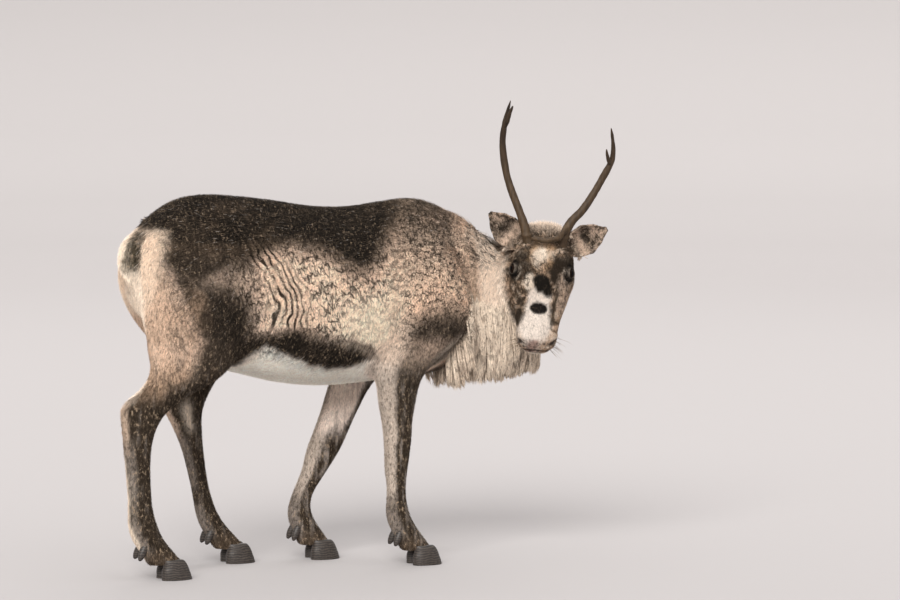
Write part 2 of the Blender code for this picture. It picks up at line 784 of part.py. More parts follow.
def fuse_forms(forms, name, voxel, smoothing, triangles):
    """Joins overlapping forms into one smooth closed surface of few triangles."""
    bm = bmesh.new()
    for form in forms:
        bm.from_mesh(form.data)
    joined = object_from(bm, name)
    remove(*forms)
    step = joined.modifiers.new("one skin", "REMESH")
    step.mode = "VOXEL"
    step.voxel_size = voxel
    soften = joined.modifiers.new("soften", "SMOOTH")
    soften.factor = 0.5
    soften.iterations = smoothing
    bake(joined)
    if triangles:
        thin(joined, triangles)
    return joined


def thin(obj, triangles):
    """Reduces a mesh to about that many triangles."""
    obj.data.calc_loop_triangles()
    step = obj.modifiers.new("thin", "DECIMATE")
    step.ratio = triangles / len(obj.data.loop_triangles)
    step.use_collapse_triangulate = True
    bake(obj)


def box_cutter(centre, axes, half_sizes, name):
    """A box with its own axes."""
    bm = bmesh.new()
    bmesh.ops.create_cube(bm, size=2)
    rotation = Matrix([axes[0], axes[1], axes[2]]).transposed().to_4x4()
    placing = Matrix.Translation(centre) @ rotation @ Matrix.Diagonal((*half_sizes, 1))
    bmesh.ops.transform(bm, matrix=placing, verts=bm.verts)
    bmesh.ops.recalc_face_normals(bm, faces=bm.faces)
    return object_from(bm, name)


def hull_outline(circles, change, count=20):
    """Convex outline round circles of (x, z, radius), grown by a change."""
    bm = bmesh.new()
    for x, z, radius in circles:
        for k in range(count):
            angle = 2 * math.pi * k / count
            reach = radius + change
            bm.verts.new((x + reach * math.cos(angle), 0, z + reach * math.sin(angle)))
    near = sorted(((v.co.x, v.co.z) for v in bm.verts))
    bm.free()

    def half(points):
        chain = []
        for point in points:
            while len(chain) > 1 and turn(chain[-2], chain[-1], point) <= 1e-9:
                chain.pop()
            chain.append(point)
        return chain[:-1]

    return half(near) + half(near[::-1])


def turn(a, b, c):
    """Positive where a, b, c turn left."""
    return (b[0] - a[0]) * (c[1] - a[1]) - (b[1] - a[1]) * (c[0] - a[0])


def limb_cutter(circles, inner, side, change, name):
    """An upright outline as thick as the limb's side of the body."""
    outline = hull_outline(circles, change)
    inner_y = side * (inner - change)
    outer_y = side * 0.4
    rings = [[(x, y, z) for x, z in outline] for y in (inner_y, outer_y)]
    return loft(rings, name)


def part_with(body, make_cutter, name):
    """Takes the body inside a cutter as a new node, with a gap all round."""
    inner, outer = make_cutter(-GAP / 2), make_cutter(GAP / 2)
    piece = boolean(copy_of(body, name), inner, "INTERSECT")
    boolean(body, outer, "DIFFERENCE")
    remove(inner, outer)
    return keep_largest(piece)


def tube(points, name, steps=ANTLER_RINGS_PER_STEP, sides=ANTLER_SIDES):
    """A tapering round tube through places and radii, as a bevelled curve."""
    flat = refined([(*place, radius) for place, radius in points], steps)
    curve = bpy.data.curves.new(name, "CURVE")
    curve.dimensions = "3D"
    curve.bevel_depth = 1.0
    curve.bevel_resolution = (sides - 4) // 2
    curve.use_fill_caps = True
    curve.resolution_u = 1
    line = curve.splines.new("POLY")
    line.points.add(len(flat) - 1)
    for point, (x, y, z, radius) in zip(line.points, flat):
        point.co = (x, y, z, 1)
        point.radius = radius
    obj = bpy.data.objects.new(name, curve)
    PARTS.objects.link(obj)
    return keep_largest(bake(obj))


def antler_piece(pedicle, steps, name):
    """One branch of an antler from its steps off the pedicle."""
    return tube([(on_view(pedicle, step), radius) for step, radius in steps], name)


def antlers(head):
    """Both antlers, each split at its forks."""
    made = []
    for side, label, beam, tines in (
        (-1, "right", BEAM_RIGHT, {"crown_tine": CROWN_TINE_RIGHT}),
        (1, "left", BEAM_LEFT, {"crown_tine": CROWN_TINE_LEFT,
                                "brow_tine": BROW_TINE_LEFT}),
    ):
        along, across, out = PEDICLE_AT
        pedicle = on_head(along, across * side, out)
        main = antler_piece(pedicle, beam, f"antler_{label}_beam")
        main = clear_of(main, head)
        for kind, steps in tines.items():
            tine = antler_piece(pedicle, steps, f"antler_{label}_{kind}")
            made.append(clear_of(tine, main))
        made.append(main)
    return made


def ear(side, tip_steps, label):
    """A cupped ear: an open, curled leaf that gets a wall, rooted at the skull."""
    root = on_head(EAR_ROOT[0], EAR_ROOT[1] * side, EAR_ROOT[2])
    tip_way = (PICTURE_RIGHT * tip_steps.x + Vector((0, 0, tip_steps.y))
               + TOWARDS_VIEWER * tip_steps.z).normalized()
    opening = (TOWARDS_VIEWER - tip_way * TOWARDS_VIEWER.dot(tip_way)).normalized()
    across = tip_way.cross(opening)
    bm = bmesh.new()
    rows = []
    for row in range(EAR_ROWS + 1):
        t = row / EAR_ROWS
        swell = math.sin(math.pi * min(1.0, t * 0.92 + 0.08))
        width = EAR_WIDTH * (EAR_ROOT_SHARE + EAR_SWELL * swell)
        width *= math.sqrt(max(0.0, 1 - t ** EAR_TIP_ROUNDING))
        curl = math.radians(EAR_CURL - EAR_UNCURL * t)
        bow = opening * (EAR_BOW * math.sin(math.pi * t))
        middle = root + tip_way * (EAR_LENGTH * t) - bow
        line = []
        for column in range(EAR_COLUMNS + 1):
            v = 2 * column / EAR_COLUMNS - 1
            angle = v * curl
            radius = max(width, 0.004) / math.sin(min(curl, math.pi / 2))
            radius *= 0.92
            place = (middle + across * (radius * math.sin(angle))
                     + opening * (radius * EAR_CUP_DEPTH * (1 - math.cos(angle))))
            line.append(bm.verts.new(place))
        rows.append(line)
    for line, after in zip(rows, rows[1:]):
        for k in range(EAR_COLUMNS):
            bm.faces.new((line[k], line[k + 1], after[k + 1], after[k]))
    obj = object_from(bm, f"ear_{label}")
    wall = obj.modifiers.new("wall", "SOLIDIFY")
    wall.thickness = EAR_WALL
    wall.offset = 0.0
    bake(obj)
    return keep_largest(turned_out(obj))


def turned_out(obj):
    """Makes all faces point outwards."""
    bm = bmesh.new()
    bm.from_mesh(obj.data)
    bmesh.ops.triangulate(bm, faces=bm.faces)
    bmesh.ops.recalc_face_normals(bm, faces=bm.faces)
    if sum(group_volume(group) for group in loose_groups(bm)) < 0:
        bmesh.ops.reverse_faces(bm, faces=bm.faces)
    bm.to_mesh(obj.data)
    bm.free()
    return obj


def ball(centre, radii, axes, name, segments=14, rings=9):
    """A stretched ball."""
    bm = bmesh.new()
    bmesh.ops.create_uvsphere(bm, u_segments=segments, v_segments=rings, radius=1)
    rotation = Matrix([axes[0], axes[1], axes[2]]).transposed().to_4x4()
    placing = Matrix.Translation(centre) @ rotation @ Matrix.Diagonal((*radii, 1))
    bmesh.ops.transform(bm, matrix=placing, verts=bm.verts)
    bmesh.ops.recalc_face_normals(bm, faces=bm.faces)
    return object_from(bm, name)


def with_lids(head):
    """Swells the head into closed lids over each eye."""
    axes = (NOSEWARD, LEFTWARD, OUTWARD)
    for side in (-1, 1):
        along, across, out = EYE_AT
        lid = ball(on_head(along, across * side, out),
                   [EYE_RADIUS + LID_THICKNESS] * 3, axes, "lid")
        head = boolean(head, lid, "UNION")
        remove(lid)
    return keep_largest(head)


def open_eyes(head):
    """Cuts the sockets and the openings between the lids, and makes the eyeballs."""
    eyes = []
    axes = (NOSEWARD, LEFTWARD, OUTWARD)
    for side, label in ((-1, "right"), (1, "left")):
        along, across, out = EYE_AT
        centre = on_head(along, across * side, out)
        socket = ball(centre, [EYE_RADIUS + GAP] * 3, axes, "socket")
        head = boolean(head, socket, "DIFFERENCE")
        forward, sideways, outward = EYE_FACING
        facing = (NOSEWARD * forward + LEFTWARD * (sideways * side)
                  + OUTWARD * outward).normalized()
        upward = NOSEWARD.cross(facing).normalized()
        slit = ball(centre + facing * EYE_RADIUS,
                    (EYE_LENGTH / 2, EYE_RADIUS * 0.9, EYE_OPENING / 2),
                    (facing.cross(upward), facing, upward), "slit", 12, 6)
        head = boolean(head, slit, "DIFFERENCE")
        remove(socket, slit)
        head = keep_largest(head)
        eye = ball(centre, [EYE_RADIUS] * 3, axes, f"eye_{label}")
        eyes.append(keep_largest(eye))
    return head, eyes


def claw_ring(toe, heel, inner, outer, z):
    """Outline of a claw at one height: rounded outside, nearly straight inside."""
    length = toe - heel
    ring = []
    for k in range(CLAW_POINTS):
        angle = 2 * math.pi * k / CLAW_POINTS
        forward, side = math.cos(angle), math.sin(angle)
        x = (toe + heel) / 2 + length / 2 * curved(forward, 0.85)
        width = outer if side > 0 else inner
        taper = 1 - 0.30 * max(0.0, forward) ** 2
        ring.append((x, width * curved(side, 0.8) * taper, z))
    return ring


def claw(foot_x, foot_y, side, name):
    """One main claw on its flat sole, with its toe forward."""
    levels = [
        (0.000, 0.00, 1.00),
        (0.006, 0.01, 1.03),
        (0.020, 0.07, 0.97),
        (0.036, 0.16, 0.86),
        (CLAW_HEIGHT, 0.26, 0.72),
    ]
    rings = []
    for z, back, size in levels:
        toe = CLAW_LENGTH * (0.5 - back)
        heel = CLAW_LENGTH * -0.5 + 0.004 * (z > 0.03)
        ring = claw_ring(toe, heel, CLAW_WIDTH * 0.42 * size, CLAW_WIDTH * 0.56 * size, z)
        rings.append([(foot_x + x, foot_y + side * (CLAW_SPREAD + y), height)
                      for x, y, height in ring])
    return keep_largest(turned_out(loft(rings, name)))


def dewclaw(heel_x, foot_y, side, height, name):
    """A small claw behind the pastern that points down and back."""
    top = Vector((heel_x + 0.006, foot_y + side * 0.017, height))
    way = Vector((-0.42, side * 0.12, -0.90)).normalized()
    sizes = [(0.0, 0.80), (0.35, 1.0), (0.7, 0.85), (0.92, 0.5), (1.0, 0.22)]
    points = [(top + way * (DEWCLAW_LENGTH * t), DEWCLAW_RADIUS * size)
              for t, size in sizes]
    return tube(points, name, DEWCLAW_STEPS, DEWCLAW_SIDES)


def foot(leg_piece, sections, side, label):
    """Hooves and dewclaws of one leg."""
    _, rear, front, y, _ = sections[-1]
    foot_y = side * y
    foot_x = (rear + front) / 2 + 0.022
    made = []
    for which, way in (("outer", side), ("inner", -side)):
        main = claw(foot_x, foot_y, way, f"{label}_claw_{which}")
        made.append(clear_of(main, leg_piece))
        heel = sections[-2][1]
        small = dewclaw(heel, foot_y, way, DEWCLAW_TOP, f"{label}_dewclaw_{which}")
        made.append(clear_of(small, leg_piece))
    return made


LEG_CUTS = {
    # label: sections, side, circles of the upper piece, inner face, joint height
    "hind_right": (HIND_RIGHT, -1,
                   [(-0.325, 0.82, 0.105), (-0.325, 0.68, 0.150), (-0.345, 0.56, 0.105)],
                   0.052, 0.385),
    "hind_left": (HIND_LEFT, 1,
                  [(-0.325, 0.82, 0.105), (-0.300, 0.68, 0.155), (-0.280, 0.56, 0.125)],
                  0.052, 0.385),
    "fore_right": (FORE_RIGHT, -1,
                   [(0.285, 0.80, 0.085), (0.295, 0.66, 0.132), (0.228, 0.50, 0.092)],
                   0.040, 0.315),
    "fore_left": (FORE_LEFT, 1,
                  [(0.285, 0.80, 0.085), (0.290, 0.66, 0.132), (0.190, 0.50, 0.108)],
                  0.040, 0.300),
}
HEAD_CUT_AT = (0.052, 0, -0.032)
HEAD_BOX = (0.25, 0.16, 0.22)
SKULL_BOX = (0.030, 0.092, 0.125)
NECK_CUT_AT = Vector((0.432, 0, 0.70))
NECK_CUT_WAY = Vector((0.985, -0.02, 0.12)).normalized()


def halfspace_box(face_centre, way, half_sizes, change, name):
    """A box on the forward side of a face, whose face moves by a change."""
    across = Vector((0, 0, 1)).cross(way).normalized()
    up = way.cross(across)
    centre = face_centre + way * (half_sizes[0] - change)
    return box_cutter(centre, (way, across, up), half_sizes, name)


def head_box(change, sizes):
    """The cutter that parts head from neck: its face slants behind ears and jaw."""
    way = (NOSEWARD * 0.807 + OUTWARD * 0.590).normalized()
    up = way.cross(LEFTWARD)
    centre = on_head(*HEAD_CUT_AT) + way * (sizes[0] - change)
    return box_cutter(centre, (way, LEFTWARD, up), sizes, "head box")


def main():
    """Builds the animal and parts it into its nodes."""
    legs = [leg(sections, side, f"form_{label}")
            for label, (sections, side, _, _, _) in LEG_CUTS.items()]
    necks = [loft(path_rings(sections), "form_neck") for sections in (NECK, NAPE)]
    occiput = loft([head_ring(*section) for section in refined(HEAD[:5], 3)], "occiput")
    flesh = fuse_forms([trunk(), *necks, occiput, *legs], "flesh", VOXEL,
                       SMOOTHING_TURNS, FLESH_TRIANGLES)
    tail = clear_of(turned_out(loft(path_rings(TAIL, 12, 0.0), "tail")), flesh)

    head = fuse_forms([head_form(8, "fine_head")], "head", 0.0026, 2, 0)
    sculpt_head(head)
    thin(head, HEAD_TRIANGLES)
    cutter = head_box(-GAP / 2, HEAD_BOX)
    head = keep_largest(boolean(head, cutter, "INTERSECT"))
    remove(cutter)
    head = with_lids(head)
    closed_head = copy_of(head, "closed_head")
    head, eyes = open_eyes(head)
    pieces = {"head": head, "tail": tail}

    def neck_box(change):
        return halfspace_box(NECK_CUT_AT, NECK_CUT_WAY, (0.3, 0.3, 0.45), change,
                             "neck box")

    neck = part_with(flesh, neck_box, "neck")
    skull_box = head_box(GAP / 2, SKULL_BOX)
    neck = keep_largest(boolean(neck, skull_box, "DIFFERENCE"))
    remove(skull_box)
    neck = with_locks(neck)
    inner = neck_box(-GAP / 2)
    neck = keep_largest(boolean(neck, inner, "INTERSECT"))
    remove(inner)
    pieces["neck"] = clear_of(neck, closed_head)
    for label, (_, side, circles, inner, _) in LEG_CUTS.items():
        upper = "thigh" if label.startswith("hind") else "shoulder"

        def limb(change, circles=circles, inner=inner, side=side):
            return limb_cutter(circles, inner, side, change, "limb cutter")

        name = f"{label}_{upper}"
        pieces[name] = part_with(flesh, limb, name)

    def lower_name(centre):
        if centre.z > 0.5:
            return "torso"
        return ("hind" if centre.x < -0.1 else "fore") + (
            "_right" if centre.y < 0 else "_left")

    lower = split_loose(flesh, lower_name)
    pieces["torso"] = lower["torso"]
    for label, (_, _, _, _, joint) in LEG_CUTS.items():
        def below(change, joint=joint):
            return box_cutter(Vector((0, 0, joint - 0.3 + change)),
                              (Vector((1, 0, 0)), Vector((0, 1, 0)), Vector((0, 0, 1))),
                              (1, 1, 0.3), "below joint")

        whole = lower[label]
        name = f"{label}_cannon"
        pieces[name] = part_with(whole, below, name)
        whole.name = f"{label}_{'gaskin' if label.startswith('hind') else 'forearm'}"
        pieces[whole.name] = keep_largest(whole)

    for label, (sections, side, _, _, _) in LEG_CUTS.items():
        for piece in foot(pieces[f"{label}_cannon"], sections, side, label):
            pieces[piece.name] = piece
    for piece in (*antlers(head), *eyes):
        pieces[piece.name] = piece
    for side, steps, label in ((-1, EAR_TIP_RIGHT, "right"), (1, EAR_TIP_LEFT, "left")):
        leaf = clear_of(ear(side, steps, label), head)
        pieces[leaf.name] = clear_of(leaf, pieces[f"antler_{label}_beam"])
    remove(closed_head)
    finish_nodes(pieces)


def coat_of(name):
    """The material of a node, by its name."""
    for key, value in (("antler", "antler"), ("claw", "hoof"), ("eye", "eye"),
                       ("ear", "face_coat"), ("head", "face_coat"),
                       ("neck", "pale_coat"), ("tail", "pale_coat"),
                       ("cannon", "dark_coat")):
        if key in name:
            return value
    return "coat"


def finish_nodes(pieces):
    """Shades and colours every node, and puts the origin under the whole animal."""
    low = Vector((1e9,) * 3)
    high = -low
    for piece in pieces.values():
        for vert in piece.data.vertices:
            low = Vector(map(min, low, vert.co))
            high = Vector(map(max, high, vert.co))
    shift = Vector((-(low.x + high.x) / 2, -(low.y + high.y) / 2, 0))
    for name, piece in pieces.items():
        piece.name = name
        piece.data.transform(Matrix.Translation(shift))
        piece.data.materials.clear()
        piece.data.materials.append(material(coat_of(name)))
        piece.data.shade_smooth()
        piece.data.set_sharp_from_angle(angle=math.radians(50))


clear_scene()
PARTS = collection("reindeer")
NOSEWARD, LEFTWARD, OUTWARD, TOWARDS_VIEWER, PICTURE_RIGHT = head_axes()
main()
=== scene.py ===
"""A standing reindeer cow in winter coat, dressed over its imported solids.

Forms and markings are given in the body's own frame, in metres: she faces +X, her
right side is towards -Y, and the floor is z = 0. Finished meshes are moved by one
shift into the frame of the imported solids.
"""

import logging
import math
from dataclasses import dataclass, field
from enum import Enum

import bmesh
import bpy
import numpy as np
from mathutils import Matrix, Vector
from mathutils.bvhtree import BVHTree


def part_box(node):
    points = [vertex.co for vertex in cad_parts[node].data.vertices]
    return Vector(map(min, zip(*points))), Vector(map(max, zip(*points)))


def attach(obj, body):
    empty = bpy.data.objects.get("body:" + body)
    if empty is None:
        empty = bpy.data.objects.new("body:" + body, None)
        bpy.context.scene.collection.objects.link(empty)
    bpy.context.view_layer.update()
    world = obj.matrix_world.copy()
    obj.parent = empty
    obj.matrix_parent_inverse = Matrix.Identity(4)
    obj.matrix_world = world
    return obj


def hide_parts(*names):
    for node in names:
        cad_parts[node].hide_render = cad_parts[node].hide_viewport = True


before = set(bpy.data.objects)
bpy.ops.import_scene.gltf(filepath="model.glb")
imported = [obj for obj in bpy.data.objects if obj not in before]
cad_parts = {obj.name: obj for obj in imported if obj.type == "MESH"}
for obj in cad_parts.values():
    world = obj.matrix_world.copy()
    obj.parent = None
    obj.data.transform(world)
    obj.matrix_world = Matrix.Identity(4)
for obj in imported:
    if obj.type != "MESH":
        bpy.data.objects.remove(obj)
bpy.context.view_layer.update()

LOG = logging.getLogger("reindeer")

Value = float | tuple[float, ...] | bpy.types.NodeSocket
SectionTable = list[tuple[float, ...]]


class Side(Enum):
    """Which side of the body a paired part is on, as the sign of Y."""

    RIGHT = -1
    LEFT = 1

    @property
    def label(self) -> str:
        """The word used in names."""
        return self.name.lower()


class Region(Enum):
    """Parts of the coat that are grown as pieces of their own."""

    TRUNK = 0
    NECK = 1
    LEGS = 2
    HEAD = 3
    EARS = 4
    TAIL = 5


def soft_step(low: float, high: float, value: np.ndarray) -> np.ndarray:
    """A smooth change from 0 at low to 1 at high."""
    t = np.clip((value - low) / (high - low), 0.0, 1.0)
    return t * t * (3 - 2 * t)


def unit(vectors: np.ndarray) -> np.ndarray:
    """Vectors brought to length 1."""
    return vectors / np.maximum(np.linalg.norm(vectors, axis=-1, keepdims=True), 1e-9)


def curved(value: np.ndarray, power: float) -> np.ndarray:
    """A sine or cosine raised to a power with its sign kept."""
    return np.sign(value) * np.abs(value) ** power


def refined(values: SectionTable, steps: int) -> np.ndarray:
    """Rows of numbers with more of them between, on a smooth curve.

    Args:
        values: the rows that the curve goes through.
        steps: how many steps each span is cut into.

    Returns:
        One row for each step.
    """
    rows = np.array(values, float)
    last = len(rows) - 1
    places = np.arange(last * steps + 1) / steps
    index = np.minimum(places.astype(int), last - 1)
    t = (places - index)[:, None]
    a, b = rows[np.maximum(index - 1, 0)], rows[index]
    c, d = rows[index + 1], rows[np.minimum(index + 2, last)]
    return 0.5 * (2 * b + (c - a) * t + (2 * a - 5 * b + 4 * c - d) * t ** 2
                  + (3 * b - a - 3 * c + d) * t ** 3)


@dataclass(frozen=True)
class Noise:
    """Soft noise that repeats from run to run.

    Attributes:
        seed: the number that tells one field of noise from another.
    """

    seed: int

    def chance(self, cells: np.ndarray, channel: int = 0) -> np.ndarray:
        """A number from 0 to 1 for each lattice cell."""
        x, y, z = (cells[..., k].astype(np.int64) for k in range(3))
        mixed = (x * 73856093) ^ (y * 19349663) ^ (z * 83492791)
        mixed = mixed ^ (self.seed * 2654435761 + channel * 40503 * 65537)
        mixed = ((mixed ^ (mixed >> 13)) * 1274126177) & 0x7FFFFFFFFF
        mixed = ((mixed ^ (mixed >> 17)) * 668265263) & 0x7FFFFFFFFF
        mixed = mixed ^ (mixed >> 15)
        return (mixed & 0xFFFFFF) / float(0xFFFFFF)

    def value(self, places: np.ndarray, size: float | tuple[float, ...]) -> np.ndarray:
        """Smooth noise from -1 to 1, with features of about the given size."""
        scaled = places / np.array(size)
        base = np.floor(scaled)
        t = scaled - base
        t = t * t * (3 - 2 * t)
        total = np.zeros(len(places))
        for corner in range(8):
            step = np.array([corner & 1, corner >> 1 & 1, corner >> 2 & 1])
            share = np.prod(np.where(step == 1, t, 1 - t), axis=1)
            total += share * self.chance(base + step)
        return total * 2 - 1

    def layered(self, places: np.ndarray, size: float, layers: int = 3) -> np.ndarray:
        """Noise with finer noise on it."""
        total = np.zeros(len(places))
        for layer in range(layers):
            finer = 0.5 ** layer
            total += finer * Noise(self.seed + layer * 17).value(places, size * finer)
        return total / 1.6


@dataclass(frozen=True)
class HeadFrame:
    """The head's own axes and the measures that its parts share.

    Attributes:
        root: where the skull meets the neck.
        view_azimuth: the direction that the face is turned to.
        yaw: how far the face turns from that direction.
        pitch: how far the nose points down.
        lean: how far the head leans over.
    """

    root: tuple[float, float, float] = (0.646, -0.080, 0.863)
    view_azimuth: float = math.radians(-22)
    yaw: float = math.radians(2.0)
    pitch: float = math.radians(62)
    lean: float = math.radians(-4.5)

    @property
    def near(self) -> np.ndarray:
        """The level direction towards the viewer."""
        return np.array([math.sin(self.view_azimuth), -math.cos(self.view_azimuth), 0])

    @property
    def right(self) -> np.ndarray:
        """The level direction to the picture's right."""
        return np.array([math.cos(self.view_azimuth), math.sin(self.view_azimuth), 0])

    def axes(self) -> np.ndarray:
        """Rows: along the face to the nose, to the head's left, out of the forehead."""
        level = self.near * math.cos(self.yaw) - self.right * math.sin(self.yaw)
        up = np.array([0.0, 0.0, 1.0])
        along = level * math.cos(self.pitch) - up * math.sin(self.pitch)
        out = level * math.sin(self.pitch) + up * math.cos(self.pitch)
        turn = np.array(Matrix.Rotation(self.lean, 3, Vector(self.near)))
        along, out = turn @ along, turn @ out
        return np.array([along, np.cross(out, along), out])

    def place(self, steps: np.ndarray | tuple[float, ...]) -> np.ndarray:
        """Points of the body's frame from steps in the head's axes."""
        return np.array(self.root) + np.asarray(steps) @ self.axes()

    def steps(self, places: np.ndarray) -> np.ndarray:
        """Steps in the head's axes from points of the body's frame."""
        return (places - np.array(self.root)) @ self.axes().T

    def on_view(self, start: np.ndarray, step: tuple[float, float, float]) -> np.ndarray:
        """A point stepped to the picture's right, up, and towards the viewer."""
        return start + self.right * step[0] + np.array([0, 0, step[1]]) + self.near * step[2]


HEAD_FRAME = HeadFrame()
EYE_AT = (0.144, 0.0640, 0.024)
EYE_RADIUS = 0.0185
EYE_FACING = (0.06, 0.80, 0.60)


def eye_axes(way: int) -> np.ndarray:
    """An eye's own axes in the head's: to its front corner, outwards, to its upper lid.

    Args:
        way: 1 for the left eye, -1 for the right one.

    Returns:
        Three rows of steps in the head's axes.
    """
    facing = unit(np.array([EYE_FACING[0], EYE_FACING[1] * way, EYE_FACING[2]]))
    upper = unit(np.cross([1.0, 0, 0], facing)) * way
    return np.array([np.cross(facing, upper) * way, facing, upper])


def eye_steps(places: np.ndarray, way: int) -> np.ndarray:
    """Steps from an eye's middle in its own axes, for points of the body's frame."""
    centre = np.array([EYE_AT[0], EYE_AT[1] * way, EYE_AT[2]])
    return (HEAD_FRAME.steps(places) - centre) @ eye_axes(way).T


def body_shift() -> np.ndarray:
    """The step from the body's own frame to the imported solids' frame."""
    low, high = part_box("eye_right")
    along, side, out = EYE_AT
    return np.array((low + high) / 2) - HEAD_FRAME.place((along, -side, out))


SHIFT = body_shift()


@dataclass(frozen=True)
class Limb:
    """One leg as level sections.

    Attributes:
        name: which leg.
        side: the side of the body it is on.
        sections: height, rear edge, front edge, sideways middle, half width.
    """

    name: str
    side: Side
    sections: SectionTable

    def ring_sizes(self, height: np.ndarray) -> tuple[np.ndarray, ...]:
        """Rear edge, front edge, sideways middle and half width at given heights."""
        rows = refined(self.sections, 3)[::-1]
        found = [np.interp(height, rows[:, 0], rows[:, k]) for k in range(1, 5)]
        found[2] = found[2] * self.side.value
        return tuple(found)

    def form(self, count: int = 32) -> bpy.types.Object:
        """The leg's plain loft."""
        angle = 2 * math.pi * np.arange(count) / count
        rings = []
        for z, rear, front, y, half in refined(self.sections, 3):
            x = (rear + front) / 2 + (front - rear) / 2 * curved(np.cos(angle), 0.9)
            wide = self.side.value * y + half * curved(np.sin(angle), 0.9)
            rings.append(np.stack([x, wide, np.full(count, z)], axis=1))
        return loft(rings, f"form_{self.name}")

    def inside(self, places: np.ndarray) -> tuple[np.ndarray, np.ndarray]:
        """How near points are to the leg.

        Args:
            places: points in the body's frame.

        Returns:
            The squared distance from the leg's axis, 1 at its surface, and the
            place from the rear edge, 0, to the front edge, 1.
        """
        rear, front, y, half = self.ring_sizes(places[:, 2])
        across = (places[:, 0] - (rear + front) / 2) / ((front - rear) / 2)
        side = (places[:, 1] - y) / half
        return across ** 2 + side ** 2, (across + 1) / 2


HIND_UPPER = [(0.900, -0.410, -0.240, 0.060, 0.030)]
HIND_RIGHT = Limb("hind_right", Side.RIGHT, HIND_UPPER + [
    (0.840, -0.420, -0.200, 0.082, 0.055), (0.760, -0.448, -0.165, 0.097, 0.068),
    (0.680, -0.458, -0.160, 0.106, 0.070), (0.620, -0.450, -0.172, 0.111, 0.064),
    (0.567, -0.438, -0.199, 0.114, 0.056), (0.513, -0.441, -0.240, 0.115, 0.047),
    (0.480, -0.464, -0.292, 0.114, 0.040), (0.455, -0.497, -0.345, 0.113, 0.036),
    (0.435, -0.515, -0.374, 0.112, 0.034), (0.410, -0.516, -0.402, 0.111, 0.033),
    (0.380, -0.511, -0.420, 0.110, 0.033), (0.345, -0.507, -0.431, 0.109, 0.030),
    (0.300, -0.504, -0.436, 0.108, 0.028), (0.220, -0.498, -0.435, 0.108, 0.026),
    (0.170, -0.497, -0.429, 0.108, 0.028), (0.135, -0.497, -0.419, 0.108, 0.031),
    (0.100, -0.486, -0.403, 0.108, 0.032), (0.065, -0.463, -0.374, 0.108, 0.033),
    (0.036, -0.445, -0.352, 0.108, 0.033),
])
HIND_LEFT = Limb("hind_left", Side.LEFT, HIND_UPPER + [
    (0.840, -0.412, -0.190, 0.082, 0.055), (0.760, -0.414, -0.150, 0.097, 0.068),
    (0.680, -0.394, -0.132, 0.106, 0.070), (0.620, -0.381, -0.127, 0.111, 0.064),
    (0.560, -0.376, -0.137, 0.113, 0.056), (0.510, -0.367, -0.165, 0.113, 0.046),
    (0.470, -0.354, -0.193, 0.112, 0.039), (0.440, -0.346, -0.212, 0.111, 0.035),
    (0.410, -0.339, -0.226, 0.110, 0.034), (0.385, -0.327, -0.232, 0.110, 0.033),
    (0.355, -0.312, -0.232, 0.109, 0.031), (0.300, -0.289, -0.229, 0.108, 0.028),
    (0.220, -0.268, -0.219, 0.108, 0.026), (0.170, -0.258, -0.207, 0.108, 0.028),
    (0.135, -0.252, -0.194, 0.108, 0.031), (0.100, -0.241, -0.172, 0.108, 0.032),
    (0.065, -0.219, -0.140, 0.108, 0.033), (0.036, -0.203, -0.116, 0.108, 0.033),
])
FORE_UPPER = [
    (0.870, 0.215, 0.350, 0.060, 0.030), (0.790, 0.172, 0.398, 0.092, 0.052),
    (0.710, 0.160, 0.425, 0.106, 0.058),
]
FORE_RIGHT = Limb("fore_right", Side.RIGHT, FORE_UPPER + [
    (0.635, 0.162, 0.428, 0.111, 0.058), (0.575, 0.150, 0.388, 0.110, 0.054),
    (0.530, 0.148, 0.335, 0.107, 0.049), (0.478, 0.164, 0.288, 0.104, 0.043),
    (0.420, 0.172, 0.273, 0.102, 0.037), (0.370, 0.181, 0.265, 0.100, 0.034),
    (0.335, 0.186, 0.263, 0.100, 0.034), (0.295, 0.188, 0.259, 0.100, 0.031),
    (0.245, 0.189, 0.252, 0.100, 0.027), (0.200, 0.195, 0.247, 0.100, 0.026),
    (0.165, 0.194, 0.249, 0.100, 0.028), (0.130, 0.193, 0.258, 0.100, 0.031),
    (0.100, 0.202, 0.274, 0.100, 0.032), (0.065, 0.220, 0.300, 0.100, 0.033),
    (0.036, 0.232, 0.320, 0.100, 0.033),
])
FORE_LEFT = Limb("fore_left", Side.LEFT, FORE_UPPER + [
    (0.635, 0.160, 0.422, 0.108, 0.058), (0.575, 0.145, 0.375, 0.105, 0.054),
    (0.520, 0.127, 0.305, 0.101, 0.048), (0.450, 0.108, 0.228, 0.096, 0.040),
    (0.387, 0.087, 0.190, 0.094, 0.036), (0.330, 0.065, 0.162, 0.094, 0.034),
    (0.284, 0.046, 0.140, 0.094, 0.033), (0.230, 0.032, 0.104, 0.094, 0.028),
    (0.185, 0.012, 0.072, 0.094, 0.026), (0.155, 0.001, 0.058, 0.094, 0.028),
    (0.125, -0.006, 0.058, 0.094, 0.031), (0.098, -0.003, 0.070, 0.094, 0.032),
    (0.065, 0.012, 0.094, 0.094, 0.033), (0.036, 0.023, 0.112, 0.094, 0.033),
])
LIMBS = (HIND_RIGHT, HIND_LEFT, FORE_RIGHT, FORE_LEFT)

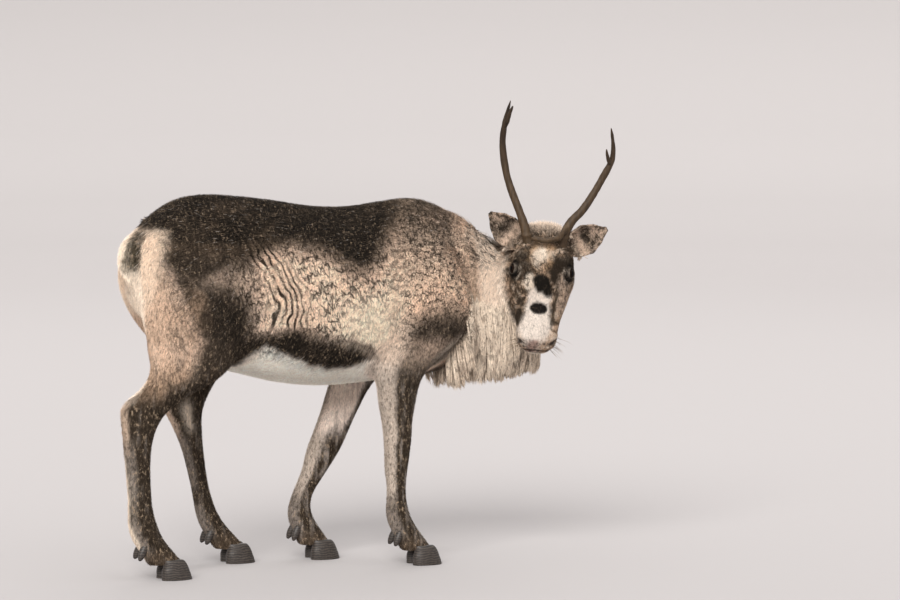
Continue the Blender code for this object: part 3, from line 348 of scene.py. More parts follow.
NECK = [
    (0.300, 0.000, 0.745, 0.185, 0.118), (0.380, -0.002, 0.725, 0.178, 0.116),
    (0.450, -0.012, 0.693, 0.158, 0.106), (0.515, -0.028, 0.662, 0.148, 0.096),
    (0.570, -0.038, 0.650, 0.142, 0.092), (0.600, -0.044, 0.660, 0.120, 0.080),
    (0.619, -0.049, 0.670, 0.074, 0.052),
]
NAPE = [
    (0.470, -0.014, 0.700, 0.120, 0.095), (0.530, -0.028, 0.705, 0.118, 0.092),
    (0.580, -0.044, 0.728, 0.108, 0.086), (0.614, -0.060, 0.762, 0.088, 0.078),
    (0.632, -0.073, 0.797, 0.053, 0.056),
]
TAIL = [
    (-0.446, -0.040, 0.848, 0.017, 0.026), (-0.471, -0.062, 0.834, 0.019, 0.030),
    (-0.484, -0.083, 0.797, 0.019, 0.031), (-0.484, -0.090, 0.755, 0.016, 0.027),
    (-0.475, -0.090, 0.718, 0.008, 0.013),
]
TRUNK = [
    (-0.490, 0.800, 0.730, 0.030, -0.038), (-0.473, 0.846, 0.685, 0.076, -0.035),
    (-0.438, 0.880, 0.630, 0.112, -0.028), (-0.391, 0.918, 0.580, 0.135, -0.018),
    (-0.331, 0.948, 0.545, 0.149, -0.009), (-0.255, 0.957, 0.520, 0.156, -0.002),
    (-0.170, 0.951, 0.497, 0.168, 0.000), (-0.080, 0.940, 0.474, 0.182, 0.000),
    (0.020, 0.924, 0.461, 0.188, 0.000), (0.120, 0.920, 0.463, 0.182, 0.000),
    (0.200, 0.930, 0.469, 0.168, 0.000), (0.285, 0.940, 0.474, 0.150, 0.000),
    (0.350, 0.930, 0.482, 0.134, 0.000), (0.410, 0.895, 0.505, 0.115, 0.000),
    (0.455, 0.845, 0.550, 0.085, 0.000), (0.480, 0.790, 0.620, 0.045, 0.000),
]
HEAD = [
    (-0.012, 0.010, 0.040, 0.034), (0.000, 0.027, 0.060, 0.052),
    (0.030, 0.047, 0.088, 0.066), (0.070, 0.060, 0.106, 0.076),
    (0.110, 0.063, 0.115, 0.082), (0.150, 0.058, 0.112, 0.084),
    (0.190, 0.052, 0.100, 0.078), (0.230, 0.046, 0.082, 0.068),
    (0.268, 0.042, 0.066, 0.058), (0.301, 0.041, 0.056, 0.053),
    (0.327, 0.038, 0.049, 0.050), (0.344, 0.029, 0.041, 0.043),
    (0.354, 0.014, 0.027, 0.027),
]


def link(obj: bpy.types.Object) -> bpy.types.Object:
    """Puts an object in the scene."""
    bpy.context.scene.collection.objects.link(obj)
    return obj


def mesh_object(points: np.ndarray, faces: list, name: str) -> bpy.types.Object:
    """A mesh object from points and faces."""
    mesh = bpy.data.meshes.new(name)
    mesh.from_pydata(np.asarray(points).tolist(), [], np.asarray(faces).tolist()
                     if isinstance(faces, np.ndarray) else faces)
    return link(bpy.data.objects.new(name, mesh))


def points_of(obj: bpy.types.Object) -> np.ndarray:
    """A mesh's points."""
    found = np.zeros(len(obj.data.vertices) * 3, np.float32)
    obj.data.vertices.foreach_get("co", found)
    return found.reshape(-1, 3).astype(float)


def normals_of(obj: bpy.types.Object) -> np.ndarray:
    """A mesh's normals at its points."""
    found = np.zeros(len(obj.data.vertices) * 3, np.float32)
    obj.data.vertices.foreach_get("normal", found)
    return found.reshape(-1, 3).astype(float)


def set_points(obj: bpy.types.Object, places: np.ndarray) -> None:
    """Moves a mesh's points."""
    obj.data.vertices.foreach_set("co", places.astype(np.float32).ravel())
    obj.data.update()


def triangles_of(obj: bpy.types.Object) -> np.ndarray:
    """A mesh's triangles as rows of three point numbers."""
    obj.data.calc_loop_triangles()
    found = np.zeros(len(obj.data.loop_triangles) * 3, np.int32)
    obj.data.loop_triangles.foreach_get("vertices", found)
    return found.reshape(-1, 3)


def bake(obj: bpy.types.Object) -> bpy.types.Object:
    """Applies every modifier of an object."""
    bpy.context.view_layer.update()
    graph = bpy.context.evaluated_depsgraph_get()
    mesh = bpy.data.meshes.new_from_object(obj.evaluated_get(graph))
    obj.modifiers.clear()
    old = obj.data
    obj.data = mesh
    bpy.data.meshes.remove(old)
    return obj


def dress(obj: bpy.types.Object, finish: bpy.types.Material) -> None:
    """Gives a whole object one material."""
    obj.data.materials.clear()
    obj.data.materials.append(finish)
    first = np.zeros(len(obj.data.polygons), np.int32)
    obj.data.polygons.foreach_set("material_index", first)


def drop(*objs: bpy.types.Object) -> None:
    """Removes helper objects."""
    for obj in objs:
        bpy.data.objects.remove(obj)


def combine(obj: bpy.types.Object, other: bpy.types.Object,
            way: str) -> bpy.types.Object:
    """Joins, cuts or keeps what two closed forms share, and drops the second one."""
    step = obj.modifiers.new(way.lower(), "BOOLEAN")
    step.operation = way
    step.solver = "MANIFOLD"
    step.object = other
    bake(obj)
    drop(other)
    return obj


def loft(rings: list[np.ndarray], name: str) -> bpy.types.Object:
    """A closed skin over rings of points, with flat ends."""
    count = len(rings[0])
    points = np.concatenate(rings)
    faces = []
    for row in range(len(rings) - 1):
        for k in range(count):
            following = (k + 1) % count
            low = row * count
            faces.append([low + k, low + following,
                          low + count + following, low + count + k])
    faces.append(list(range(count))[::-1])
    faces.append([(len(rings) - 1) * count + k for k in range(count)])
    return turned_out(mesh_object(points, faces, name))


def turned_out(obj: bpy.types.Object) -> bpy.types.Object:
    """Makes a closed mesh's faces point outwards."""
    bm = bmesh.new()
    bm.from_mesh(obj.data)
    bmesh.ops.remove_doubles(bm, verts=bm.verts, dist=1e-6)
    bmesh.ops.recalc_face_normals(bm, faces=bm.faces)
    if bm.calc_volume(signed=True) < 0:
        bmesh.ops.reverse_faces(bm, faces=bm.faces)
    bm.to_mesh(obj.data)
    bm.free()
    return obj


def path_rings(sections: SectionTable, count: int, top_narrowing: float,
               steps: int = 4) -> list[np.ndarray]:
    """Rings square to a bent path of middles, half heights and half widths."""
    fine = refined(sections, steps)
    angle = 2 * math.pi * np.arange(count) / count
    rise, side = np.cos(angle)[:, None], np.sin(angle)[:, None]
    narrowing = 1 - top_narrowing * np.maximum(0.0, rise)
    rings = []
    for number, row in enumerate(fine):
        along = fine[min(number + 1, len(fine) - 1)] - fine[max(number - 1, 0)]
        along = unit(along[:3])
        across = unit(np.cross([0, 0, 1], along))
        up = np.cross(along, across)
        rings.append(row[:3] + up * row[3] * rise + across * row[4] * side * narrowing)
    return rings


def fused(forms: list[bpy.types.Object], name: str, voxel: float,
          smoothing: int) -> bpy.types.Object:
    """Joins overlapping forms into one smooth closed surface."""
    bm = bmesh.new()
    for form in forms:
        bm.from_mesh(form.data)
    mesh = bpy.data.meshes.new(name)
    bm.to_mesh(mesh)
    bm.free()
    drop(*forms)
    joined = link(bpy.data.objects.new(name, mesh))
    step = joined.modifiers.new("one skin", "REMESH")
    step.mode = "VOXEL"
    step.voxel_size = voxel
    soften = joined.modifiers.new("soften", "SMOOTH")
    soften.factor = 0.5
    soften.iterations = smoothing
    return bake(joined)


def ball(centre: np.ndarray, radii: tuple[float, ...], axes: np.ndarray, name: str,
         segments: int, rings: int) -> bpy.types.Object:
    """A stretched ball with its own axes."""
    bm = bmesh.new()
    bmesh.ops.create_uvsphere(bm, u_segments=segments, v_segments=rings, radius=1)
    placing = (Matrix.Translation(Vector(centre)) @ Matrix(axes).transposed().to_4x4()
               @ Matrix.Diagonal((*radii, 1)))
    bmesh.ops.transform(bm, matrix=placing, verts=bm.verts)
    mesh = bpy.data.meshes.new(name)
    bm.to_mesh(mesh)
    bm.free()
    return turned_out(link(bpy.data.objects.new(name, mesh)))


def tube(places: np.ndarray, radii: np.ndarray, sides: int, name: str) -> bpy.types.Object:
    """A closed round tube through places, with its own radius at each."""
    along = unit(np.gradient(places, axis=0))
    across = unit(np.cross(along, [0.31, 0.87, 0.38]))
    up = np.cross(along, across)
    angle = 2 * math.pi * np.arange(sides) / sides
    rings = [place + radius * (np.cos(angle)[:, None] * a + np.sin(angle)[:, None] * u)
             for place, radius, a, u in zip(places, radii, across, up)]
    return loft(rings, name)


@dataclass(frozen=True)
class Tone:
    """A named colour of hair or horn, as it is seen, from 0 to 255."""

    red: int
    green: int
    blue: int

    def linear(self) -> np.ndarray:
        """The colour as a shader wants it."""
        seen = np.array([self.red, self.green, self.blue]) / 255
        return np.where(seen > 0.04045, ((seen + 0.055) / 1.055) ** 2.4, seen / 12.92)


BLACK_BROWN = Tone(26, 22, 18)
DARK_BROWN = Tone(53, 44, 35)
MID_BROWN = Tone(106, 89, 73)
TAN = Tone(190, 160, 134)
BEIGE = Tone(226, 200, 178)
CREAM = Tone(236, 220, 202)
WHITE = Tone(230, 218, 207)
SNOW = Tone(255, 243, 230)
WARM_WHITE = Tone(255, 232, 210)
TAUPE = Tone(166, 154, 144)
OCHRE = Tone(204, 168, 132)
PINK = Tone(166, 130, 118)
SKIN_BLACK = Tone(26, 22, 20)


@dataclass(frozen=True)
class Patch:
    """A soft-edged patch of colour on a flat map of the body or of the face.

    Attributes:
        tone: its colour.
        centre: its middle on the map.
        radii: its half sizes on the map.
        turn: how far it is turned, in degrees.
        strength: how much of what is below it hides.
        edge: how soft its edge is, as a share of its size.
        ragged: how uneven its edge is, as a share of its size.
    """

    tone: Tone
    centre: tuple[float, float]
    radii: tuple[float, float]
    turn: float = 0.0
    strength: float = 1.0
    edge: float = 0.22
    ragged: float = 0.22

    def cover(self, across: np.ndarray, up: np.ndarray, noise: np.ndarray) -> np.ndarray:
        """How much the patch covers at each point of the map, from 0 to 1."""
        turn = math.radians(self.turn)
        x, y = across - self.centre[0], up - self.centre[1]
        along = (x * math.cos(turn) + y * math.sin(turn)) / self.radii[0]
        aside = (y * math.cos(turn) - x * math.sin(turn)) / self.radii[1]
        reach = np.hypot(along, aside) + self.ragged * noise
        return self.strength * soft_step(1 + self.edge, 1 - self.edge, reach)


def laid_over(below: np.ndarray, tone: Tone | np.ndarray, cover: np.ndarray) -> np.ndarray:
    """Colours with another one laid over them."""
    top = tone.linear() if isinstance(tone, Tone) else tone
    return below + (top - below) * cover[:, None]


@dataclass(frozen=True)
class Markings:
    """The coat's colours, the same for the skin and for what grows on it.

    Attributes:
        saddle: lower edge of the dark back, as places along the body and heights.
        stripe_top: upper edge of the dark stripe on the flank.
        stripe_bottom: its lower edge, where the pale belly starts.
        rump: rear edge of the dark hip, as heights and places along the body.
        body: patches on the side of the body, along it and up it.
        face: patches on the face, along it and to its left.
    """

    saddle: SectionTable = field(default_factory=lambda: [
        (-0.52, 0.870), (-0.447, 0.872), (-0.409, 0.845), (-0.319, 0.835),
        (-0.214, 0.833), (-0.135, 0.844), (-0.056, 0.840), (0.010, 0.826),
        (0.055, 0.792), (0.104, 0.768), (0.145, 0.787), (0.180, 0.835),
        (0.205, 0.872), (0.240, 0.915), (0.30, 0.99), (0.7, 1.2)])
    stripe_top: SectionTable = field(default_factory=lambda: [
        (-0.30, 0.560), (-0.20, 0.596), (-0.164, 0.612), (-0.090, 0.617), (-0.011, 0.606),
        (0.070, 0.588), (0.125, 0.566), (0.158, 0.536), (0.17, 0.50)])
    stripe_bottom: SectionTable = field(default_factory=lambda: [
        (-0.45, 0.560), (-0.30, 0.566), (-0.20, 0.590), (-0.161, 0.583), (-0.087, 0.550),
        (-0.034, 0.522), (0.020, 0.510), (0.087, 0.517), (0.145, 0.530), (0.17, 0.52),
        (0.24, 0.50), (0.30, 0.48)])
    rump: SectionTable = field(default_factory=lambda: [
        (0.50, -0.330), (0.587, -0.330), (0.650, -0.352), (0.725, -0.388),
        (0.795, -0.418), (0.850, -0.436), (0.90, -0.47)])
    body: tuple[Patch, ...] = (
        Patch(BEIGE, (-0.275, 0.748), (0.045, 0.024), turn=12, strength=0.45, ragged=0.9,
              edge=0.6),
        Patch(BEIGE, (-0.205, 0.735), (0.050, 0.042), turn=60, strength=0.65, ragged=0.8,
              edge=0.4),
        Patch(TAN, (-0.335, 0.672), (0.026, 0.060), turn=18, strength=0.6, ragged=0.6),
        Patch(BLACK_BROWN, (-0.268, 0.640), (0.070, 0.062), strength=0.8, ragged=0.4),
        Patch(BLACK_BROWN, (-0.345, 0.790), (0.050, 0.040), strength=0.6, ragged=0.4),
        Patch(DARK_BROWN, (0.322, 0.615), (0.098, 0.048), turn=4, strength=0.60,
              ragged=0.6, edge=0.6),
        Patch(BLACK_BROWN, (0.322, 0.607), (0.080, 0.028), turn=4, strength=0.85,
              ragged=0.55, edge=0.5),
        Patch(WARM_WHITE, (0.125, 0.615), (0.085, 0.085), turn=-30, ragged=0.35, edge=0.5),
        Patch(CREAM, (0.366, 0.548), (0.090, 0.023), turn=32, ragged=0.25),
        Patch(DARK_BROWN, (0.362, 0.487), (0.060, 0.020), turn=18, strength=0.9),
    )
    face: tuple[Patch, ...] = (
        Patch(DARK_BROWN, (0.136, -0.054), (0.038, 0.034), turn=8, ragged=0.8, strength=0.85),
        Patch(DARK_BROWN, (0.172, -0.034), (0.012, 0.012), ragged=0.6),
        Patch(DARK_BROWN, (0.152, 0.042), (0.034, 0.030), ragged=0.5),
        Patch(DARK_BROWN, (0.128, 0.064), (0.040, 0.022), turn=-8, ragged=0.5),
        Patch(DARK_BROWN, (0.068, 0.000), (0.014, 0.060), ragged=0.7, strength=0.8),
        Patch(DARK_BROWN, (0.262, -0.058), (0.045, 0.018), ragged=0.9, strength=0.5),
        Patch(BEIGE, (0.215, 0.062), (0.060, 0.018), ragged=0.7, strength=0.6),
        Patch(OCHRE, (0.112, -0.004), (0.036, 0.034), ragged=0.6, edge=0.3),
        Patch(CREAM, (0.112, -0.005), (0.026, 0.025), ragged=0.6, edge=0.35),
        Patch(CREAM, (0.186, -0.030), (0.024, 0.012), ragged=0.4),
        Patch(WHITE, (0.228, 0.000), (0.036, 0.031), ragged=0.18),
        Patch(WHITE, (0.266, -0.004), (0.046, 0.032), ragged=0.14),
        Patch(WHITE, (0.306, -0.007), (0.044, 0.043), ragged=0.12),
        Patch(BLACK_BROWN, (0.186, 0.001), (0.026, 0.021), turn=20, ragged=0.4,
              edge=0.16),
        Patch(BLACK_BROWN, (0.200, 0.017), (0.018, 0.013), ragged=0.4, edge=0.16),
        Patch(DARK_BROWN, (0.272, -0.052), (0.024, 0.009), turn=4, ragged=0.6),
        Patch(DARK_BROWN, (0.240, 0.040), (0.055, 0.006), turn=-4, ragged=0.9,
              strength=0.8),
        Patch(SKIN_BLACK, (0.254, 0.000), (0.0160, 0.0225), turn=-6, edge=0.10,
              ragged=0.06),
        Patch(PINK, (0.350, -0.012), (0.010, 0.015), edge=0.5, ragged=0.9,
              strength=0.7),
    )

    def saddle_height(self, along: np.ndarray) -> np.ndarray:
        """Height of the dark back's lower edge."""
        edge = np.array(self.saddle)
        return np.interp(along, edge[:, 0], edge[:, 1])

    def edge(self, table: SectionTable, along: np.ndarray) -> np.ndarray:
        """An edge's height at places along the body."""
        rows = np.array(table)
        return np.interp(along, rows[:, 0], rows[:, 1])

    def of_trunk(self, places: np.ndarray) -> np.ndarray:
        """Colours of the trunk, neck and upper legs."""
        x, y, z = places.T
        coarse = Noise(3).layered(places, 0.055)
        fine = Noise(5).layered(places, 0.016)
        speck = Noise(9).value(places, 0.006)
        edge_noise = 0.7 * coarse + 0.6 * fine
        colour = np.tile(Tone(248, 218, 194).linear(), (len(places), 1))
        colour = laid_over(colour, WARM_WHITE, 0.5 * soft_step(-0.3, 0.4, coarse))
        # Shoulder and withers: pale hair tipped with brown, darker upwards
        shoulder = soft_step(0.16, 0.25, x + 0.03 * fine) * soft_step(0.60, 0.66, z)
        upward = soft_step(0.66, 0.93, z + 0.03 * coarse)
        pepper = soft_step(0.35, -0.35, speck + 0.5 * fine - 1.1 * upward + 0.55)
        colour = laid_over(colour, OCHRE, shoulder * 0.22)
        colour = laid_over(colour, DARK_BROWN, shoulder * pepper
                           * (0.04 + 0.80 * upward) * soft_step(0.44, 0.36, x))
        # Hip and thigh: dark brown mottled with tan
        rear_edge = self.edge(self.rump, z)
        thigh = soft_step(-0.012, 0.020, x - rear_edge + 0.020 * edge_noise)
        front = -0.185 + 0.10 * soft_step(0.78, 0.86, z) + 0.020 * edge_noise
        thigh *= soft_step(0.030, -0.020, x - front) * soft_step(0.40, 0.47, z)
        mixed = soft_step(-0.30, 0.40, coarse + 0.7 * fine)
        colour = laid_over(colour, DARK_BROWN, thigh * 0.92)
        colour = laid_over(colour, BLACK_BROWN, thigh * mixed * 0.7)
        # Dark back with a brownish grey band under it
        above = z - self.saddle_height(x) + 0.020 * edge_noise
        ahead = soft_step(0.31, 0.22, x)
        colour = laid_over(colour, MID_BROWN, 0.75 * ahead * soft_step(-0.060, -0.004, above))
        back = soft_step(-0.016, 0.014, above) * ahead
        colour = laid_over(colour, BLACK_BROWN, back)
        brown = soft_step(0.1, 0.7, coarse + 0.5 * fine) * back
        colour = laid_over(colour, MID_BROWN, 0.40 * brown)
        # Neck
        neck = soft_step(0.415, 0.455, x + 0.01 * coarse)
        colour = laid_over(colour, Tone(230, 212, 194), neck * 0.97)
        # Tan band down the base of the neck: painted shadow where the neck meets the shoulder
        line = np.exp(-((x - 0.430 - 0.012 * coarse) / 0.012) ** 2)
        colour = laid_over(colour, TAN, line * 0.8 * soft_step(0.56, 0.62, z)
                           * soft_step(0.86, 0.78, z))
        nape = soft_step(0.84, 0.90, z + 0.02 * fine) * soft_step(0.40, 0.50, x)
        colour = laid_over(colour, TAN, nape * 0.20)
        for number, patch in enumerate(self.body):
            noise = Noise(31 + number).layered(places, 0.05)
            colour = laid_over(colour, patch.tone, patch.cover(x, z, noise))
        # Rump
        behind = soft_step(0.010, -0.024, x - rear_edge + 0.018 * edge_noise)
        behind *= soft_step(0.885, 0.855, z + 0.01 * fine)
        colour = laid_over(colour, TAN, behind * soft_step(0.56, 0.60, z) * 0.60)
        colour = laid_over(colour, MID_BROWN, behind * 0.3 * soft_step(0.1, 0.5, fine))
        pure = soft_step(0.012, -0.012, x + 0.411 - 0.30 * (z - 0.795) + 0.010 * coarse)
        pure *= soft_step(0.600, 0.64, z) * soft_step(0.878, 0.862, z + 0.008 * fine)
        colour = laid_over(colour, Tone(228, 206, 184), pure)
        # Stripe and belly
        top = self.edge(self.stripe_top, x)
        bottom = self.edge(self.stripe_bottom, x)
        stripe = soft_step(0.008, -0.008, z - top + 0.016 * edge_noise)
        stripe *= soft_step(-0.27, -0.20, x) * soft_step(0.175, 0.155, x)
        colour = laid_over(colour, BLACK_BROWN, stripe)
        belly = soft_step(0.006, -0.008, z - bottom + 0.008 * edge_noise)
        belly *= soft_step(0.33, 0.27, x)
        thigh_front = soft_step(-0.010, 0.012, x + 0.238 - 1.07 * (z - 0.498)
                                + 0.010 * edge_noise)
        belly *= np.maximum(thigh_front, soft_step(0.080, 0.060, np.abs(y)))
        return laid_over(colour, SNOW, belly)

    def of_leg(self, places: np.ndarray, limb: Limb) -> np.ndarray:
        """Colours of one leg below the body."""
        z = places[:, 2]
        _, forward = limb.inside(places)
        rear, front, middle, half = limb.ring_sizes(z)
        outer = (places[:, 1] - middle) / half * limb.side.value
        streak = Noise(41).value(places, (0.008, 0.008, 0.045))
        coarse = Noise(43).layered(places, 0.03)
        colour = np.tile(DARK_BROWN.linear(), (len(places), 1))
        colour = laid_over(colour, BLACK_BROWN, soft_step(0.0, 0.7, coarse) * 0.7)
        colour = laid_over(colour, TAUPE, 0.40 * soft_step(0.3, 0.9, streak))
        inner = soft_step(-0.05, -0.55, outer) * soft_step(0.30, 0.36, z)
        if limb.name.startswith("hind"):
            tan = soft_step(0.43, 0.50, z) * soft_step(0.60, 0.42, forward + 0.25 * coarse)
            colour = laid_over(colour, TAN, tan * 0.9)
            colour = laid_over(colour, DARK_BROWN, tan * 0.7 * soft_step(0.15, 0.5, streak))
            hock = soft_step(0.29, 0.35, z) * soft_step(0.455, 0.43, z)
            pale = hock * soft_step(0.17, 0.06, forward + 0.05 * coarse)
            colour = laid_over(colour, BEIGE, pale * 0.75)
            lower = soft_step(0.17, 0.22, z) * soft_step(0.38, 0.30, z)
            colour = laid_over(colour, TAUPE, 0.45 * lower
                               * soft_step(0.42, 0.20, forward + 0.1 * streak))
            stripe = np.exp(-((forward - 0.50) / 0.13) ** 2)
            stripe *= soft_step(0.33, 0.36, z) * soft_step(0.44, 0.40, z)
            colour = laid_over(colour, CREAM, stripe * inner * 0.9)
        else:
            pale = soft_step(0.40, 0.26, forward + 0.08 * coarse) * soft_step(0.13, 0.20, z)
            colour = laid_over(colour, Tone(200, 185, 171), pale * 0.9)
            grey = soft_step(0.56, 0.38, z) * soft_step(0.05, 0.7, streak + 0.3 * coarse)
            colour = laid_over(colour, TAUPE, grey * 0.6)
            ridge = soft_step(0.0, 0.6, Noise(45).value(places, (0.007, 0.007, 0.09)))
            inner_pale = inner * soft_step(0.86, 0.70, forward + 0.10 * coarse)
            colour = laid_over(colour, Tone(242, 226, 214), inner_pale * (1 - 0.35 * ridge))
        fetlock = soft_step(0.17, 0.13, z) * soft_step(0.05, 0.09, z)
        fetlock *= soft_step(0.40, 0.18, forward + 0.15 * streak)
        colour = laid_over(colour, TAUPE, fetlock * 0.65)
        coronet = soft_step(0.085, 0.050, z + 0.01 * coarse)
        return laid_over(colour, MID_BROWN, coronet * 0.5)

    def of_head(self, places: np.ndarray) -> np.ndarray:
        """Colours of the head."""
        along, side, out = HEAD_FRAME.steps(places).T
        coarse = Noise(51).layered(places, 0.030)
        fine = Noise(53).layered(places, 0.010)
        speck = Noise(55).value(places, 0.0045)
        colour = np.tile(TAN.linear(), (len(places), 1))
        mottle = soft_step(0.02, 0.14, 0.6 * coarse + fine + 0.45 * speck)
        colour = laid_over(colour, CREAM, 0.6 * soft_step(0.0, 0.4, -fine))
        colour = laid_over(colour, DARK_BROWN, mottle * 0.86)
        poll = COAT.poll_share(places)
        colour = laid_over(colour, TAN, poll * 0.3)
        colour = laid_over(colour, BLACK_BROWN, poll * soft_step(0.02, 0.14, fine) * 0.9)
        throat = soft_step(-0.030, -0.075, out + 0.02 * coarse)
        colour = laid_over(colour, CREAM, throat * soft_step(0.33, 0.20, along) * 0.9)
        colour = laid_over(colour, CREAM, soft_step(0.03, -0.01, along + 0.01 * coarse) * 0.7)
        for number, patch in enumerate(self.face):
            noise = Noise(71 + number).layered(places, 0.024)
            front = 1.0 if abs(patch.centre[1]) > 0.045 else soft_step(-0.035, 0.0, out)
            colour = laid_over(colour, patch.tone, patch.cover(along, side, noise) * front)
        # Lips, chin and nostrils
        lip = soft_step(0.300, 0.325, along) * soft_step(-0.012, -0.024, out)
        colour = laid_over(colour, CREAM, lip)
        mouth = np.exp(-((out - mouth_height(along)) / 0.0042) ** 2)
        colour = laid_over(colour, SKIN_BLACK, mouth * soft_step(0.262, 0.285, along))
        for way in (-1, 1):
            # Darker in the nostrils: painted shade in the openings
            nostril = np.exp(-(((along - 0.332) / 0.018) ** 2
                               + ((side - 0.042 * way) / 0.012) ** 2
                               + ((out - 0.014) / 0.014) ** 2) * 1.5)
            colour = laid_over(colour, Tone(62, 56, 54), np.clip(nostril * 1.5, 0, 0.95))
            colour = self.round_eye(colour, places, way)
        return colour

    def round_eye(self, colour: np.ndarray, places: np.ndarray, way: int) -> np.ndarray:
        """Black lids with a pale line round them and a dark tear line."""
        ahead, outward, up = eye_steps(places, way).T
        reach = np.hypot(ahead / 0.0150, up / 0.0120)
        here = soft_step(0.002, 0.006, outward)
        pale = np.exp(-((reach - 1.86) / 0.13) ** 2) * here * soft_step(-0.002, 0.006, up)
        colour = laid_over(colour, CREAM, pale * 0.7 * soft_step(-0.012, 0.000, ahead))
        colour = laid_over(colour, Tone(10, 8, 7), soft_step(1.74, 1.60, reach) * here)
        tear = np.exp(-((up + 0.35 * (ahead - 0.016)) / 0.0036) ** 2)
        tear *= soft_step(0.013, 0.018, ahead) * soft_step(0.040, 0.028, ahead) * here
        return laid_over(colour, SKIN_BLACK, tear * 0.9)


def mouth_height(along: np.ndarray) -> np.ndarray:
    """Height of the mouth's line above the head's axis."""
    return (-0.030 + 0.18 * np.maximum(0.0, along - 0.30)
            + 0.85 * np.maximum(0.0, along - 0.335))


@dataclass(frozen=True)
class Ear:
    """A cupped ear: a curled leaf that gets a wall.

    Attributes:
        side: the side of the head it is on.
        tip: steps from root to tip, to the picture's right, up, towards the viewer.
        root: where it leaves the skull, in the head's axes.
        length: from root to tip.
        width: half the leaf's greatest width.
        wall: its thickness under the fur.
    """

    side: Side
    tip: tuple[float, float, float]
    root: tuple[float, float, float] = (0.066, 0.060, 0.010)
    length: float = 0.117
    width: float = 0.040
    wall: float = 0.0036

    def axes(self) -> tuple[np.ndarray, np.ndarray, np.ndarray, np.ndarray]:
        """Root, direction to the tip, direction of the opening, and across it."""
        root = HEAD_FRAME.place((self.root[0], self.root[1] * self.side.value, self.root[2]))
        way = unit(HEAD_FRAME.right * self.tip[0] + np.array([0, 0, self.tip[1]])
                   + HEAD_FRAME.near * self.tip[2])
        opening = unit(HEAD_FRAME.near - way * (HEAD_FRAME.near @ way))
        return root, way, opening, np.cross(way, opening)

    def build(self, rows: int = 30, columns: int = 34) -> bpy.types.Object:
        """The ear's leaf with its wall and uneven rim."""
        root, way, opening, across = self.axes()
        points, faces = [], []
        for row in range(rows + 1):
            t = row / rows
            width = self.width * (0.42 + 0.62 * math.sin(math.pi * min(1, t * 0.92 + 0.08)))
            width = width * math.sqrt(max(0.0, 1 - t ** 4)) - 0.0012
            curl = math.radians(118 - 62 * t)
            middle = (root + way * (self.length * 0.985 * t)
                      - opening * (0.012 * math.sin(math.pi * t)))
            radius = 0.92 * max(width, 0.004) / math.sin(min(curl, math.pi / 2))
            for column in range(columns + 1):
                v = 2 * column / columns - 1
                wave = 0.0022 * math.sin(9 * t + 4 * v * self.side.value) * abs(v) ** 3
                angle = v * curl
                reach = radius * (1 - 0.05 * abs(v) ** 6 * math.sin(23 * t))
                points.append(middle + across * (reach * math.sin(angle))
                              + opening * (reach * 0.75 * (1 - math.cos(angle)) + wave))
        for row in range(rows):
            for column in range(columns):
                first = row * (columns + 1) + column
                faces.append([first, first + 1, first + columns + 2, first + columns + 1])
        leaf = mesh_object(np.array(points), faces, f"leaf_{self.side.label}")
        wall = leaf.modifiers.new("wall", "SOLIDIFY")
        wall.thickness = self.wall
        wall.offset = 0.0
        return turned_out(bake(leaf))

    def leaf_places(self, places: np.ndarray) -> tuple[np.ndarray, ...]:
        """Where points are on the ear: share of its length, across it, out of its cup."""
        root, way, opening, across = self.axes()
        offset = places - root
        return offset @ way / self.length, offset @ across, offset @ opening

    def near(self, places: np.ndarray) -> np.ndarray:
        """1 for points that belong to the ear."""
        t, side, out = self.leaf_places(places)
        close = (np.abs(side) < self.width * 1.35) & (out > -0.03) & (out < 0.075)
        return close & (t > 0.22) & (t < 1.08)

    def colours(self, places: np.ndarray) -> np.ndarray:
        """Pale near the head, dark across the middle, marbled outwards."""
        t, side, _ = self.leaf_places(places)
        t = np.clip(t, 0, 1)
        coarse = Noise(91).layered(places, 0.02)
        fine = Noise(93).layered(places, 0.007)
        width = self.width * (0.42 + 0.62 * np.sin(np.pi * np.minimum(1, t * 0.92 + 0.08)))
        share = np.clip(np.abs(side) / np.maximum(width, 0.005), 0, 1)
        colour = np.tile(BEIGE.linear(), (len(places), 1))
        outer = soft_step(0.36, 0.50, t + 0.12 * coarse)
        marble = soft_step(0.02, 0.14, fine + 0.3 * coarse)
        colour = laid_over(colour, DARK_BROWN, marble * outer * 0.8)
        core = np.exp(-(((t - 0.52 + 0.10 * coarse) / 0.09) ** 2 + (share / 0.8) ** 2))
        colour = laid_over(colour, BLACK_BROWN, np.clip(core * 1.2 + 0.35 * fine, 0, 0.9)
                           * (core > 0.05))
        rim = soft_step(0.88, 1.0, share) + soft_step(0.95, 1.0, t) + soft_step(0.14, 0.05, t)
        return laid_over(colour, BLACK_BROWN, np.clip(rim, 0, 1) * 0.65)


EARS = (Ear(Side.RIGHT, (-0.69, 0.72, -0.10)), Ear(Side.LEFT, (0.89, 0.44, -0.10)))


FOLD_SPACING = 0.0175


